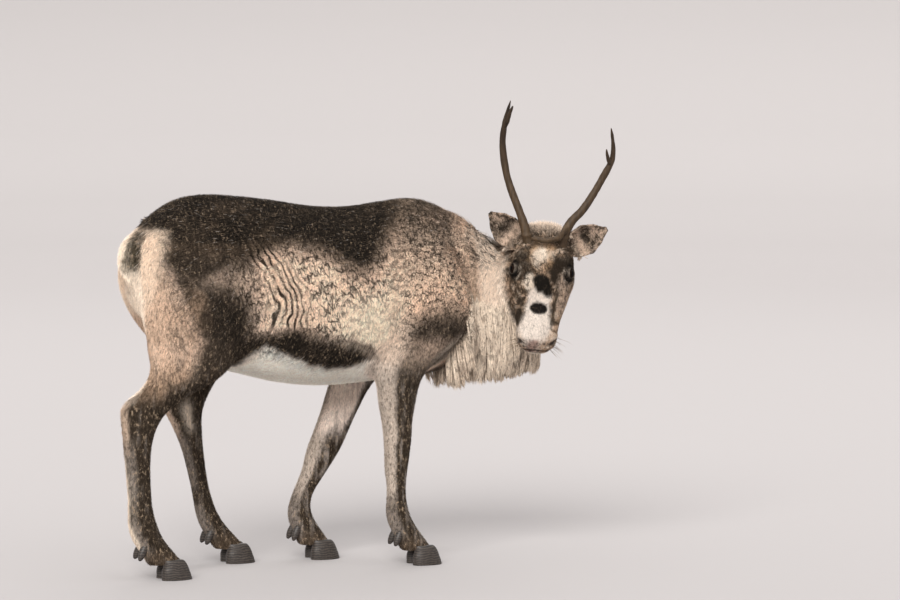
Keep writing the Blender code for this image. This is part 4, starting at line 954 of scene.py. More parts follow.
@dataclass(frozen=True)
class Coat:
    """How the coat lies anywhere on the skin: its direction, depth and length."""

    whorl: tuple[float, float] = (0.100, 0.0)

    def head_share(self, places: np.ndarray) -> np.ndarray:
        """1 on the head, falling to 0 behind it."""
        along, side, out = HEAD_FRAME.steps(places).T
        rows = refined(HEAD, 4)
        rise, fall, half = (np.interp(along, rows[:, 0], rows[:, k]) for k in (1, 2, 3))
        height = np.where(out > 0, out / rise, out / fall)
        reach = np.hypot(side / half, height)
        share = soft_step(1.30, 1.05, reach) * soft_step(-0.005, 0.045, along)
        return share * soft_step(0.40, 0.37, along)

    def poll_share(self, places: np.ndarray) -> np.ndarray:
        """1 on the tuft of hair between the antlers."""
        along, side, out = HEAD_FRAME.steps(places).T
        reach = np.hypot((along - 0.032) / 0.030, side / 0.040)
        return soft_step(1.2, 0.6, reach) * (out > 0.01)

    def leg_share(self, places: np.ndarray) -> np.ndarray:
        """1 on the lower legs, falling to 0 on the trunk."""
        near = np.full(len(places), 99.0)
        for limb in LIMBS:
            near = np.minimum(near, limb.inside(places)[0])
        high = soft_step(0.63, 0.47, places[:, 2])
        return np.maximum(soft_step(2.4, 1.3, near) * high,
                          soft_step(0.458, 0.450, places[:, 2]))

    def tail_share(self, places: np.ndarray) -> np.ndarray:
        """1 on the tail."""
        middle = self.tail_middle(places)
        near = np.hypot((places[:, 0] - middle[0]) / 0.030, (places[:, 1] - middle[1]) / 0.036)
        return (soft_step(1.15, 0.9, near) * soft_step(0.872, 0.855, places[:, 2])
                * (places[:, 0] < -0.445))

    def tail_middle(self, places: np.ndarray) -> tuple[np.ndarray, np.ndarray]:
        """Where the tail's middle line is at the points' heights."""
        rows = refined(TAIL, 4)[::-1]
        height = places[:, 2] - 0.012
        return tuple(np.interp(height, rows[:, 2], rows[:, k]) for k in (0, 1))

    def fold_place(self, places: np.ndarray) -> np.ndarray:
        """How far points lie across the long folds in front of the hip."""
        wobble = 0.013 * Noise(61).value(places, 0.05) + 0.009 * Noise(62).value(places, 0.020)
        return self.across_folds(places) + wobble

    def across_folds(self, places: np.ndarray) -> np.ndarray:
        """Steps across the folds' middle line, which leans above and below the flank."""
        x, _, z = places.T
        lean = 0.435 * np.sqrt((z - 0.67) ** 2 + 0.0016) + 0.085 * (z - 0.67)
        return x + lean + 0.078

    def folds(self, places: np.ndarray) -> np.ndarray:
        """Depth of the long folds, from 0 to 1."""
        wave = np.sin(self.fold_place(places) * 2 * math.pi / FOLD_SPACING)
        return soft_step(0.25, 0.95, wave) * self.fold_share(places)

    def fold_share(self, places: np.ndarray) -> np.ndarray:
        """1 where the long folds lie."""
        here = soft_step(0.066, 0.040, np.abs(self.across_folds(places)))
        z = places[:, 2]
        broken = soft_step(-0.50, 0.20, Noise(63).value(places, (0.012, 0.03, 0.038)))
        return here * broken * soft_step(0.565, 0.60, z) * soft_step(0.895, 0.85, z)

    def depth(self, places: np.ndarray) -> np.ndarray:
        """How far the tips of the coat stand above the skin."""
        x, y, z = places.T
        base = np.full(len(places), 0.0095)
        base += 0.0035 * soft_step(0.42, 0.50, x)
        leg = self.leg_share(places)
        slim = 0.0075 - 0.0035 * soft_step(0.50, 0.38, z)
        base = base + (slim - base) * leg
        base = base + (0.007 - base) * self.tail_share(places)
        along = HEAD_FRAME.steps(places)[:, 0]
        face = 0.0085 - 0.0055 * soft_step(0.02, 0.11, along)
        face -= 0.0012 * soft_step(0.20, 0.30, along)
        face += 0.006 * self.poll_share(places)
        return base + (face - base) * self.head_share(places)

    def length(self, places: np.ndarray) -> np.ndarray:
        """Length of the hair along the body."""
        x, y, z = places.T
        base = 0.030 - 0.015 * self.fold_share(places)
        base += 0.010 * soft_step(0.42, 0.52, x) + 0.010 * soft_step(-0.38, -0.43, x)
        base += 0.008 * soft_step(0.56, 0.50, z) * (x < 0.2)
        leg = self.leg_share(places)
        short = 0.022 - 0.008 * soft_step(0.48, 0.38, z) + 0.010 * soft_step(0.10, 0.06, z)
        base = base + (short - base) * leg
        base = base + (0.036 - base) * self.tail_share(places)
        along = HEAD_FRAME.steps(places)[:, 0]
        for ear in EARS:
            root = np.linalg.norm(places - ear.axes()[0], axis=1)
            base += (0.009 - base) * soft_step(0.065, 0.045, root)
            base[ear.near(places)] = 0.010
        face = 0.020 - 0.0125 * soft_step(0.0, 0.12, along)
        face -= 0.0015 * soft_step(0.20, 0.30, along)
        face += 0.009 * self.poll_share(places)
        return base + (face - base) * self.head_share(places)

    def way(self, places: np.ndarray, normals: np.ndarray) -> np.ndarray:
        """The direction in which the hair lies, along the skin."""
        x, y, z = places.T
        zero = np.zeros_like(x)
        flow = np.stack([zero - 1.0, zero, zero - 0.30], axis=1)
        low = soft_step(0.86, 0.66, z)
        flow[:, 2] -= 0.5 * low
        rump = soft_step(-0.36, -0.44, x)
        flow += rump[:, None] * np.array([0.75, 0, -1.1])
        belly = soft_step(0.56, 0.50, z)
        flow[:, 2] += 0.5 * belly
        neck = soft_step(0.40, 0.50, x)
        upper = soft_step(0.62, 0.76, z)
        to_neck = np.stack([0.10 - 0.75 * upper, 0.10 + zero, zero - 1.0], axis=1)
        flow = flow + (to_neck - flow) * neck[:, None]
        leg = self.leg_share(places)[:, None]
        flow = flow + (np.array([-0.12, 0, -1.0]) - flow) * leg
        flow = flow + (np.array([-0.1, 0, -1.0]) - flow) * self.tail_share(places)[:, None]
        steps = HEAD_FRAME.steps(places)
        back = np.stack([zero - 1.0, 0.25 * np.sign(steps[:, 1]), zero - 0.25], axis=1)
        from_whorl = np.stack([steps[:, 0] - self.whorl[0], steps[:, 1] - self.whorl[1],
                               zero], axis=1)
        round_whorl = soft_step(0.150, 0.115, steps[:, 0]) * (steps[:, 2] > -0.02)
        back = back + (unit(from_whorl) - back) * round_whorl[:, None]
        on_head = back @ HEAD_FRAME.axes()
        flow = flow + (on_head - flow) * self.head_share(places)[:, None]
        for ear in EARS:
            _, way, _, _ = ear.axes()
            flow[ear.near(places)] = way
        flow = flow - normals * np.sum(flow * normals, axis=1)[:, None]
        return unit(flow)

    def cracks(self, places: np.ndarray) -> np.ndarray:
        """Where the winter coat opens in fine cracks.

        Args:
            places: points in the body's frame.

        Returns:
            Strengths of the flank's upright cracks, the shoulder's fine ones, the
            neck's slanting ones and the long folds, for each point.
        """
        x, _, z = places.T
        jitter = 0.04 * Noise(87).layered(places, 0.06)
        head = self.head_share(places)
        on_body = (1 - head) * (1 - self.tail_share(places)) * (1 - self.leg_share(places))
        above = soft_step(0.53, 0.57, z)
        flank = above * soft_step(0.27, 0.17, x + jitter) * soft_step(-0.43, -0.39, x)
        flank *= 1 - 0.6 * soft_step(0.03, 0.10, x + jitter) * soft_step(0.72, 0.64, z)
        fine = above * soft_step(0.14, 0.24, x + jitter) * soft_step(0.45, 0.40, x)
        slant = soft_step(0.39, 0.43, x) * soft_step(0.54, 0.50, x)
        slant *= soft_step(0.745, 0.80, z + jitter)
        folds = self.fold_share(places)
        flank *= (1 - 0.7 * folds) * (1 - 0.4 * soft_step(-0.22, -0.30, x))
        masks = np.stack([flank, fine, slant, folds], axis=1) * on_body[:, None]
        along, side, _ = HEAD_FRAME.steps(places).T
        tangled = soft_step(0.022, 0.036, np.hypot(along - self.whorl[0],
                                                   side - self.whorl[1]))
        tangled *= soft_step(0.30, 0.25, along)
        tangled *= np.maximum(soft_step(0.022, 0.032, np.abs(side)),
                              soft_step(0.168, 0.152, along))
        masks[:, 1] += 0.8 * tangled * head
        for ear in EARS:
            here = ear.near(places) & (head < 0.75)
            reach = ear.leaf_places(places[here])[0]
            masks[here, 1] = 0.9 * soft_step(0.36, 0.50, reach)
        return masks


COAT = Coat()
MARKINGS = Markings()


def coat_colours(places: np.ndarray) -> np.ndarray:
    """Colours of the whole coat at points of the body's frame."""
    colour = MARKINGS.of_trunk(places)
    leg = COAT.leg_share(places)
    near = [limb.inside(places)[0] for limb in LIMBS]
    nearest = np.argmin(np.stack(near), axis=0)
    for number, limb in enumerate(LIMBS):
        here = (nearest == number) & (leg > 0)
        if here.any():
            own = MARKINGS.of_leg(places[here], limb)
            colour[here] += (own - colour[here]) * leg[here][:, None]
    tail = COAT.tail_share(places)
    off = np.abs(places[:, 1] - COAT.tail_middle(places)[1] + 0.019)
    centre = soft_step(0.017, 0.009, off + 0.004 * Noise(97).value(places, 0.012))
    centre *= soft_step(0.750, 0.790, places[:, 2])
    tail_colour = laid_over(np.tile(CREAM.linear(), (len(places), 1)), Tone(88, 80, 58),
                            centre * 0.95)
    tail_colour = laid_over(tail_colour, BLACK_BROWN,
                            centre * soft_step(0.011, 0.005, off) * 0.80)
    colour += (tail_colour - colour) * tail[:, None]
    head = COAT.head_share(places)
    on_head = head > 0
    # The head's colours are darkened to 0.78: painted shade that holds the head, which the light
    # reaches more fully than the deep body coat, to the body's brightness
    own = MARKINGS.of_head(places[on_head]) * 0.78
    colour[on_head] += (own - colour[on_head]) * head[on_head][:, None]
    for ear in EARS:
        apart = np.linalg.norm(places - ear.axes()[0], axis=1)
        colour = laid_over(colour, MID_BROWN, 0.8 * soft_step(0.055, 0.035, apart)
                           * (1 - head) * (places[:, 2] < 0.83))
        here = ear.near(places) & (head < 0.75)
        # The ears' colours are darkened to 0.78 in the same way: painted shade
        colour[here] = ear.colours(places[here]) * 0.78
    return colour


@dataclass
class Skin:
    """One closed skin for everything of flesh, under the coat.

    Attributes:
        body_voxel: fineness of the body.
        head_voxel: fineness of the head.
        lid: thickness of the eyelids.
        eye_opening: length and height of the opening between the lids.
    """

    body_voxel: float = 0.0074
    head_voxel: float = 0.0023
    lid: float = 0.0026
    eye_opening: tuple[float, float] = (0.031, 0.023)

    def trunk(self, count: int = 56) -> bpy.types.Object:
        """The barrel of the body."""
        angle = 2 * math.pi * np.arange(count) / count
        up, side = np.cos(angle), np.sin(angle)
        rings = []
        for x, top, bottom, half, aside in refined(TRUNK, 3):
            middle = bottom + 0.44 * (top - bottom)
            reach = np.where(up > 0, top - middle, middle - bottom)
            narrowing = 1 - 0.26 * np.maximum(0.0, up) ** 1.5
            rings.append(np.stack([np.full(count, x),
                                   aside + half * curved(side, 0.84) * narrowing,
                                   middle + reach * curved(up, 0.92)], axis=1))
        return loft(rings, "trunk")

    def head_rings(self, sections: SectionTable, steps: int,
                   count: int = 64) -> list[np.ndarray]:
        """Sections across the head, whose bridge is narrower than its cheeks."""
        angle = 2 * math.pi * np.arange(count) / count
        up, side = np.cos(angle), np.sin(angle)
        narrowing = 1 - 0.15 * np.maximum(0.0, -up) ** 1.4 - 0.12 * np.maximum(0.0, up) ** 2
        rings = []
        for along, rise, fall, half in refined(sections, steps):
            out = np.where(up > 0, rise, fall) * curved(up, 0.86)
            across = half * curved(side, 0.86) * narrowing
            rings.append(HEAD_FRAME.place(
                np.stack([np.full(count, along), across, out], axis=1)))
        return rings

    def body(self) -> bpy.types.Object:
        """Trunk, neck, legs and tail as one form, drawn in by the coat's depth."""
        necks = [loft(path_rings(table, 36, 0.2), "form_neck") for table in (NECK, NAPE)]
        occiput = loft(self.head_rings(HEAD[:5], 3), "occiput")
        tail = loft(path_rings(TAIL, 20, 0.0), "form_tail")
        forms = [self.trunk(), *necks, occiput, tail, *(limb.form() for limb in LIMBS)]
        body = fused(forms, "body", self.body_voxel, 6)
        places, normals = points_of(body), normals_of(body)
        set_points(body, places - normals * COAT.depth(places)[:, None])
        return body

    def push(self, places: np.ndarray, middle: tuple[float, ...],
             radii: tuple[float, ...], amount: float,
             direction: tuple[float, ...]) -> np.ndarray:
        """Moves points near a place of the head, all in the head's axes."""
        steps = HEAD_FRAME.steps(places)
        distance = np.linalg.norm((steps - np.array(middle)) / np.array(radii), axis=1)
        share = np.clip(1 - distance ** 2, 0, 1) ** 2
        return HEAD_FRAME.place(steps + np.array(direction) * (amount * share)[:, None])

    def face(self, places: np.ndarray) -> np.ndarray:
        """Presses the forms of a deer's face into the head's points."""
        for way in (-1, 1):
            for middle, radii, amount, direction in (
                # Brow over the eye
                ((0.108, 0.056, 0.046), (0.042, 0.030, 0.030), 0.006, (0, 0.8, 0.6)),
                # Hollow before the eye
                ((0.195, 0.060, 0.016), (0.050, 0.030, 0.035), -0.007, (0, 1, 0)),
                # Cheek and jaw
                ((0.145, 0.070, -0.055), (0.070, 0.050, 0.050), 0.006, (0, 1, 0)),
                ((0.250, 0.050, -0.030), (0.060, 0.030, 0.030), -0.004, (0, 1, 0)),
                # Cheek bone under the eye, and the hollow below it
                ((0.158, 0.078, -0.004), (0.045, 0.025, 0.011), 0.0035, (0, 1, 0)),
                ((0.183, 0.074, -0.028), (0.050, 0.025, 0.014), -0.0030, (0, 1, 0)),
                # Tear pit
                ((0.172, 0.068, 0.018), (0.013, 0.022, 0.005), -0.0050, (0, 1, 0.3)),
                # Swell of the nostril, the rim above it and the pit in it
                ((0.325, 0.040, 0.014), (0.032, 0.030, 0.026), 0.007, (0.2, 1, 0.3)),
                ((0.330, 0.036, 0.028), (0.022, 0.020, 0.008), 0.0028, (0.3, 0.4, 1)),
                ((0.336, 0.040, 0.013), (0.018, 0.030, 0.0095), -0.020, (0.5, 1, 0.1)),
                ((0.320, 0.044, 0.008), (0.014, 0.020, 0.007), -0.007, (0.2, 1, 0.2)),
                # Corner of the mouth and the lip's edge above it
                ((0.268, 0.050, -0.026), (0.022, 0.030, 0.010), -0.005, (0, 1, 0)),
                ((0.310, 0.046, -0.020), (0.045, 0.020, 0.008), 0.0022, (0, 1, 0)),
            ):
                places = self.push(places, (middle[0], middle[1] * way, middle[2]), radii,
                                   amount, (direction[0], direction[1] * way, direction[2]))
        places = self.push(places, (0.235, 0, 0.046), (0.06, 0.05, 0.03), -0.004, (0, 0, 1))
        places = self.push(places, (0.335, 0, -0.046), (0.03, 0.03, 0.03), 0.005, (0, 0, -1))
        places = self.push(places, (0.350, 0, 0.012), (0.02, 0.008, 0.03), -0.0022, (1, 0, 0.3))
        return self.mouth(places)

    def mouth(self, places: np.ndarray) -> np.ndarray:
        """Presses in the line of the mouth, from corner to corner round the muzzle."""
        steps = HEAD_FRAME.steps(places)
        along, side, out = steps.T
        reach = np.abs(out - mouth_height(along)) / 0.0060
        depth = np.clip(1 - reach ** 2, 0, 1) ** 2 * soft_step(0.255, 0.275, along)
        inward = np.stack([-0.6 * np.maximum(0.0, along - 0.30), -side,
                           np.zeros_like(side)], axis=1)
        return HEAD_FRAME.place(steps + unit(inward) * (0.0085 * depth)[:, None])

    def eye_centre(self, way: int) -> np.ndarray:
        """Middle of an eyeball."""
        return HEAD_FRAME.place((EYE_AT[0], EYE_AT[1] * way, EYE_AT[2]))

    def lid_rim(self, way: int, steps: int = 60, count: int = 10) -> bpy.types.Object:
        """The thick edge of both lids, round the opening."""
        angle = 2 * math.pi * np.arange(steps) / steps
        long, high = self.eye_opening
        reach = EYE_RADIUS + 0.0012
        ahead = long * 0.452 * np.cos(angle)
        up = high * 0.484 * np.sin(angle) * (1 - 0.10 * np.cos(angle) ** 2)
        out = np.sqrt(reach ** 2 - ahead ** 2 - up ** 2)
        axes = eye_axes(way) @ HEAD_FRAME.axes()
        rim = self.eye_centre(way) + np.stack([ahead, out, up], axis=1) @ axes
        turn = 2 * math.pi * np.arange(count) / count
        forward = unit(np.roll(rim, -1, axis=0) - np.roll(rim, 1, axis=0))
        outward = unit(rim - self.eye_centre(way))
        across = np.cross(forward, outward)
        points = np.concatenate([
            place + 0.0017 * (np.cos(turn)[:, None] * a + np.sin(turn)[:, None] * o)
            for place, a, o in zip(rim, across, outward)])
        faces = [[row * count + k, row * count + (k + 1) % count,
                  (row + 1) % steps * count + (k + 1) % count,
                  (row + 1) % steps * count + k]
                 for row in range(steps) for k in range(count)]
        return turned_out(mesh_object(points, faces, "lid rim"))

    def head(self) -> bpy.types.Object:
        """The head with its face, lids and open eyes."""
        head = fused([loft(self.head_rings(HEAD, 8), "form_head")], "head",
                     self.head_voxel, 2)
        places, normals = points_of(head), normals_of(head)
        drawn_in = places - normals * COAT.depth(places)[:, None]
        set_points(head, self.face(drawn_in))
        axes = HEAD_FRAME.axes()
        for way in (-1, 1):
            centre = self.eye_centre(way)
            lid = ball(centre, (EYE_RADIUS + self.lid,) * 3, axes, "lid", 48, 32)
            combine(head, lid, "UNION")
        for way in (-1, 1):
            centre = self.eye_centre(way)
            own = eye_axes(way) @ axes
            long, high = self.eye_opening
            slit = ball(centre + own[1] * EYE_RADIUS,
                        (long / 2, EYE_RADIUS * 0.9, high / 2), own, "slit", 40, 24)
            combine(head, slit, "DIFFERENCE")
            combine(head, self.lid_rim(way), "UNION")
            socket = ball(centre, (EYE_RADIUS + 0.0002,) * 3, axes, "socket", 48, 32)
            combine(head, socket, "DIFFERENCE")
        return head

    def build(self) -> bpy.types.Object:
        """Joins body, head and ears."""
        skin = self.body()
        skin.name = "skin"
        combine(skin, self.head(), "UNION")
        for ear in EARS:
            combine(skin, ear.build(), "UNION")
        return turned_out(skin)


def add_colours(mesh: bpy.types.Mesh, colours: np.ndarray, name: str = "coat_colour") -> None:
    """Writes colours to a mesh's points."""
    layer = mesh.color_attributes.new(name, "FLOAT_COLOR", "POINT")
    full = np.ones((len(colours), 4))
    full[:, :colours.shape[1]] = np.clip(colours, 0, 1)
    layer.data.foreach_set("color", full.astype(np.float32).ravel())


def add_cracks(mesh: bpy.types.Mesh, places: np.ndarray) -> None:
    """Writes where the coat cracks and folds to a mesh's points."""
    add_colours(mesh, COAT.cracks(places), "crack_mask")
    for name, values in (("fold_place", COAT.fold_place(places)),
                         ("fleck_share", 1 - 0.9 * COAT.head_share(places))):
        layer = mesh.attributes.new(name, "FLOAT", "POINT")
        layer.data.foreach_set("value", values.astype(np.float32))


class Hide:
    """The skin as a place to grow hair on."""

    def __init__(self, skin: bpy.types.Object) -> None:
        """Measures the skin's triangles and sorts them by region."""
        self.points = points_of(skin)
        self.normals = normals_of(skin)
        self.faces = triangles_of(skin)
        corners = self.points[self.faces]
        self.areas = np.linalg.norm(np.cross(corners[:, 1] - corners[:, 0],
                                             corners[:, 2] - corners[:, 0]), axis=1) / 2
        self.middles = corners.mean(axis=1)
        self.tree = BVHTree.FromPolygons(self.points.tolist(), self.faces.tolist())
        self.regions = self.sort(self.middles)

    def sort(self, places: np.ndarray) -> np.ndarray:
        """The region's number of each place."""
        found = np.full(len(places), Region.TRUNK.value)
        found[places[:, 0] > 0.425] = Region.NECK.value
        found[COAT.leg_share(places) > 0.5] = Region.LEGS.value
        found[COAT.tail_share(places) > 0.5] = Region.TAIL.value
        head = COAT.head_share(places)
        found[head > 0.35] = Region.HEAD.value
        for ear in EARS:
            found[ear.near(places) & (head < 0.75)] = Region.EARS.value
        return found

    def scatter(self, region: Region, density: float,
                rng: np.random.Generator) -> tuple[np.ndarray, np.ndarray]:
        """Spreads roots evenly over a region.

        Args:
            region: where they grow.
            density: roots for each square metre.
            rng: the source of chance.

        Returns:
            The roots' places and the skin's normals there.
        """
        chosen = np.flatnonzero(self.regions == region.value)
        total = np.cumsum(self.areas[chosen])
        count = int(total[-1] * density)
        picks = np.searchsorted(total, (np.arange(count) + rng.random(count))
                                / count * total[-1])
        faces = self.faces[chosen[np.minimum(picks, len(chosen) - 1)]]
        first, second = rng.random(count), rng.random(count)
        fold = first + second > 1
        first, second = np.where(fold, 1 - first, first), np.where(fold, 1 - second, second)
        shares = np.stack([1 - first - second, first, second], axis=1)[:, :, None]
        return (np.sum(self.points[faces] * shares, axis=1),
                unit(np.sum(self.normals[faces] * shares, axis=1)))

    def settle(self, places: np.ndarray, heights: np.ndarray) -> np.ndarray:
        """Moves places to given heights above the nearest skin."""
        found = np.empty_like(places)
        nearest = self.tree.find_nearest
        for number, place in enumerate(places.tolist()):
            spot, normal, _, _ = nearest(place)
            found[number] = spot + normal * heights[number]
        return found


def unwrapped(places: np.ndarray, region: Region) -> np.ndarray:
    """Places on a flat unwrap of the skin's own shape, from 0 to 1 both ways.

    Args:
        places: points in the body's frame.
        region: the part of the skin they are on.

    Returns:
        Two numbers for each point.
    """
    x, y, z = places.T
    if region is Region.LEGS:
        near = np.stack([limb.inside(places)[0] for limb in LIMBS])
        which = np.argmin(near, axis=0)
        angle = np.zeros(len(places))
        for number, limb in enumerate(LIMBS):
            rear, front, middle, _ = limb.ring_sizes(z)
            own = np.arctan2(y - middle, x - (rear + front) / 2) / (2 * math.pi) + 0.5
            angle = np.where(which == number, own, angle)
        flat = np.stack([(which + 0.02 + 0.96 * angle) / 4, z], axis=1)
    elif region is Region.HEAD:
        along, side, out = HEAD_FRAME.steps(places).T
        flat = np.stack([along, np.arctan2(side, out + 0.02)], axis=1)
    elif region is Region.EARS:
        tiles = []
        for number, ear in enumerate(EARS):
            t, side, out = ear.leaf_places(places)
            angle = np.arctan2(side, out - 0.012) / (2 * math.pi) + 0.5
            tiles.append(np.stack([(number + 0.02 + 0.96 * angle) / 2, t], axis=1))
        flat = np.where(EARS[0].near(places)[:, None], tiles[0], tiles[1])
    elif region is Region.TAIL:
        flat = np.stack([np.arctan2(y, x + 0.470), z], axis=1)
    else:
        flat = np.stack([x, np.arctan2(y, z - 0.70)], axis=1)
    low, high = flat.min(axis=0), flat.max(axis=0)
    return 0.006 + 0.988 * (flat - low) / np.maximum(high - low, 1e-6)


@dataclass
class Tufts:
    """Closed, tapered tufts, all with the same number of rings.

    Attributes:
        rings: middles of each tuft's rings, as [ring][tuft] points.
        tips: the tufts' tips.
        up: away from the skin, for each tuft.
        widths: width of each ring of each tuft.
        thickness: ridge height as a share of the width.
    """

    rings: list[np.ndarray]
    tips: np.ndarray
    up: np.ndarray
    widths: list[np.ndarray]
    thickness: float = 0.20

    def template(self) -> np.ndarray:
        """Triangles of one tuft: its base, its sides and its tip."""
        faces = [[0, 1, 2]]
        for row in range(len(self.rings) - 1):
            for a, b in ((0, 1), (1, 2), (2, 0)):
                low, high = 3 * row, 3 * row + 3
                faces += [[low + b, low + a, high + a], [low + b, high + a, high + b]]
        last = 3 * (len(self.rings) - 1)
        faces += [[last + b, last + a, last + 3] for a, b in ((0, 1), (1, 2), (2, 0))]
        return np.array(faces)

    def points(self) -> np.ndarray:
        """All points, tuft by tuft."""
        chain = [*self.rings, self.tips]
        rows = []
        for number, (middle, width) in enumerate(zip(self.rings, self.widths)):
            along = unit(chain[number + 1] - chain[max(number - 1, 0)])
            side = unit(np.cross(self.up, along))
            up = np.cross(along, side)
            half = (width / 2)[:, None]
            rows += [middle + side * half, middle - side * half,
                     middle + up * half * 2 * self.thickness]
        rows.append(self.tips)
        return np.stack(rows, axis=1)

    def patch(self) -> np.ndarray:
        """Where each point of a tuft is on its patch of the unwrap."""
        reach = 0.0014
        count = len(self.rings)
        rows = []
        for number in range(count):
            up = reach * (2 * number / count - 1)
            rows += [[-reach, up], [reach, up], [0.0, up + reach * 0.4]]
        rows.append([0.0, reach])
        return np.array(rows)

    def shades(self, root: np.ndarray, tip: np.ndarray) -> np.ndarray:
        """Colours from root to tip for every point, with a painted highlight that makes each
        ring's ridge a little lighter.
        """
        count = len(self.rings)
        rows = []
        for number in range(count):
            share = number / count
            rows += [root + (tip - root) * share] * 2
            # The ridge on top is 1.04 times lighter: painted highlight
            rows.append((root + (tip - root) * share) * 1.04)
        rows.append(tip)
        return np.stack(rows, axis=1)

    def build(self, name: str, root: np.ndarray, tip: np.ndarray,
              flat: np.ndarray) -> bpy.types.Object:
        """Makes the piece.

        Args:
            name: the piece's name.
            root: colour of each tuft at its root.
            tip: colour of each tuft at its tip.
            flat: each root's place on the unwrap.

        Returns:
            The piece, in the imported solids' frame.
        """
        points = self.points()
        count, each, _ = points.shape
        template = self.template()
        faces = (template[None] + (np.arange(count) * each)[:, None, None]).reshape(-1, 3)
        obj = mesh_object(points.reshape(-1, 3) + SHIFT, faces, name)
        add_colours(obj.data, self.shades(root, tip).reshape(-1, 3))
        layer = obj.data.uv_layers.new(name="OFBake")
        places = (flat[:, None, :] + self.patch()[None]).reshape(-1, 2)[faces.ravel()]
        layer.data.foreach_set("uv", places.astype(np.float32).ravel())
        add_cracks(obj.data, points.reshape(-1, 3))
        return obj


@dataclass(frozen=True)
class Growth:
    """How densely and in what form the hair of one region grows.

    Attributes:
        region: where it grows.
        name: the pieces' name.
        slot: the record's material slot it belongs to; not used.
        density: tufts for each square metre.
        width: width of a tuft at its root.
        rings: rings of each tuft under its tip.
        pieces: into how many pieces it is parted.
        spread: how far tufts stray from the lie, in radians.
    """

    region: Region
    name: str
    slot: str
    density: float
    width: float
    rings: int
    pieces: int
    spread: float = 0.22


GROWTHS = (
    Growth(Region.TRUNK, "coat_trunk", "coat", 140000, 0.0036, 1, 4),
    Growth(Region.NECK, "coat_neck", "pale_coat", 140000, 0.0036, 1, 1),
    Growth(Region.LEGS, "coat_legs", "dark_coat", 190000, 0.0030, 1, 2, 0.16),
    Growth(Region.HEAD, "coat_head", "face_coat", 390000, 0.0018, 1, 2, 0.26),
    Growth(Region.EARS, "coat_ears", "face_coat", 390000, 0.0019, 1, 1, 0.35),
    Growth(Region.TAIL, "coat_tail", "pale_coat", 250000, 0.0032, 1, 1, 0.12),
)


class Fur:
    """The coat grown on the skin, region by region."""

    def __init__(self, hide: Hide) -> None:
        """Takes the skin that the coat grows on."""
        self.hide = hide

    def bare(self, places: np.ndarray) -> np.ndarray:
        """True where no hair grows: between the lids, in the nostrils, on the lips."""
        along, side, out = HEAD_FRAME.steps(places).T
        bare = np.zeros(len(places), bool)
        for way in (-1, 1):
            ahead, outward, up = eye_steps(places, way).T
            bare |= (np.hypot(ahead / 0.0150, up / 0.0120) < 1.42) & (outward > 0)
        nostril = np.hypot((along - 0.334) / 0.014, (out - 0.012) / 0.009)
        bare |= (nostril < 1.0) & (np.abs(side) > 0.026)
        bare |= (np.abs(out - mouth_height(along)) < 0.0032) & (along > 0.270)
        return bare & (COAT.head_share(places) > 0.3)

    def grow(self, growth: Growth, seed: int) -> list[bpy.types.Object]:
        """Grows one region.

        Args:
            growth: how it grows.
            seed: the number that its chance starts from.

        Returns:
            The pieces of its coat.
        """
        rng = np.random.default_rng(seed)
        roots, normals = self.hide.scatter(growth.region, growth.density, rng)
        if growth.region is Region.HEAD:
            keep = ~self.bare(roots)
            roots, normals = roots[keep], normals[keep]
        count = len(roots)
        way = COAT.way(roots, normals)
        side = np.cross(normals, way)
        stray = rng.normal(0, growth.spread, count)
        stray += 0.35 * Noise(seed).layered(roots, 0.02)
        way = way * np.cos(stray)[:, None] + side * np.sin(stray)[:, None]
        deep = COAT.folds(roots + way * 0.008)
        depth = COAT.depth(roots) * (1 - 0.6 * deep) * rng.uniform(0.80, 1.10, count)
        length = COAT.length(roots) * (1 - 0.3 * deep) * rng.uniform(0.75, 1.2, count)
        if growth.region is Region.EARS:
            depth, length = depth * 0 + 0.0018, rng.uniform(0.007, 0.012, count)
        rings, widths = [roots - normals * 0.0015], []
        for number in range(1, growth.rings):
            t = number / growth.rings
            middle = roots + way * (length * t)[:, None]
            rings.append(self.hide.settle(middle, depth * (0.25 + 0.62 * t ** 0.6)))
        tips = self.hide.settle(roots + way * length[:, None], depth)
        width = growth.width * rng.uniform(0.75, 1.25, count)
        widths = [width * (1.0 - 0.25 * n / growth.rings) for n in range(growth.rings)]
        shade = 1 + 0.07 * rng.normal(0, 1, count) + 0.05 * Noise(seed + 5).value(roots, 0.012)
        shade = np.clip(shade, 0.7, 1.3)[:, None]
        # Roots darker (0.97) and tips lighter (1.12): painted shade deep in the coat and painted
        # light at its surface
        root = coat_colours(roots) * shade * 0.97
        tip = coat_colours(tips) * shade * 1.12
        lot = rng.random(count)
        light = tip @ np.array([0.2, 0.7, 0.1])
        dark = soft_step(0.16, 0.06, light) * (growth.region is not Region.HEAD)
        tip = laid_over(tip, Tone(138, 120, 103), dark * 0.50 * (lot < 0.20))
        tip = laid_over(tip, DARK_BROWN, (1 - dark) * 0.30 * (lot > 0.90))
        frost = soft_step(0.55, 0.75, roots[:, 2]) * (growth.region is Region.TRUNK)
        tip = laid_over(tip, WHITE, 0.75 * frost * (np.abs(lot - 0.5) < 0.006))
        order = np.argsort(roots[:, 0], kind="stable")
        made = []
        for number, part in enumerate(np.array_split(order, growth.pieces)):
            name = f"{growth.name}_{number + 1}" if growth.pieces > 1 else growth.name
            tufts = Tufts([ring[part] for ring in rings], tips[part], normals[part],
                          [wide[part] for wide in widths])
            piece = tufts.build(name, root[part], tip[part],
                                unwrapped(roots[part], growth.region))
            made.append(piece)
            LOG.info("%s: %d tufts", name, len(part))
        return made


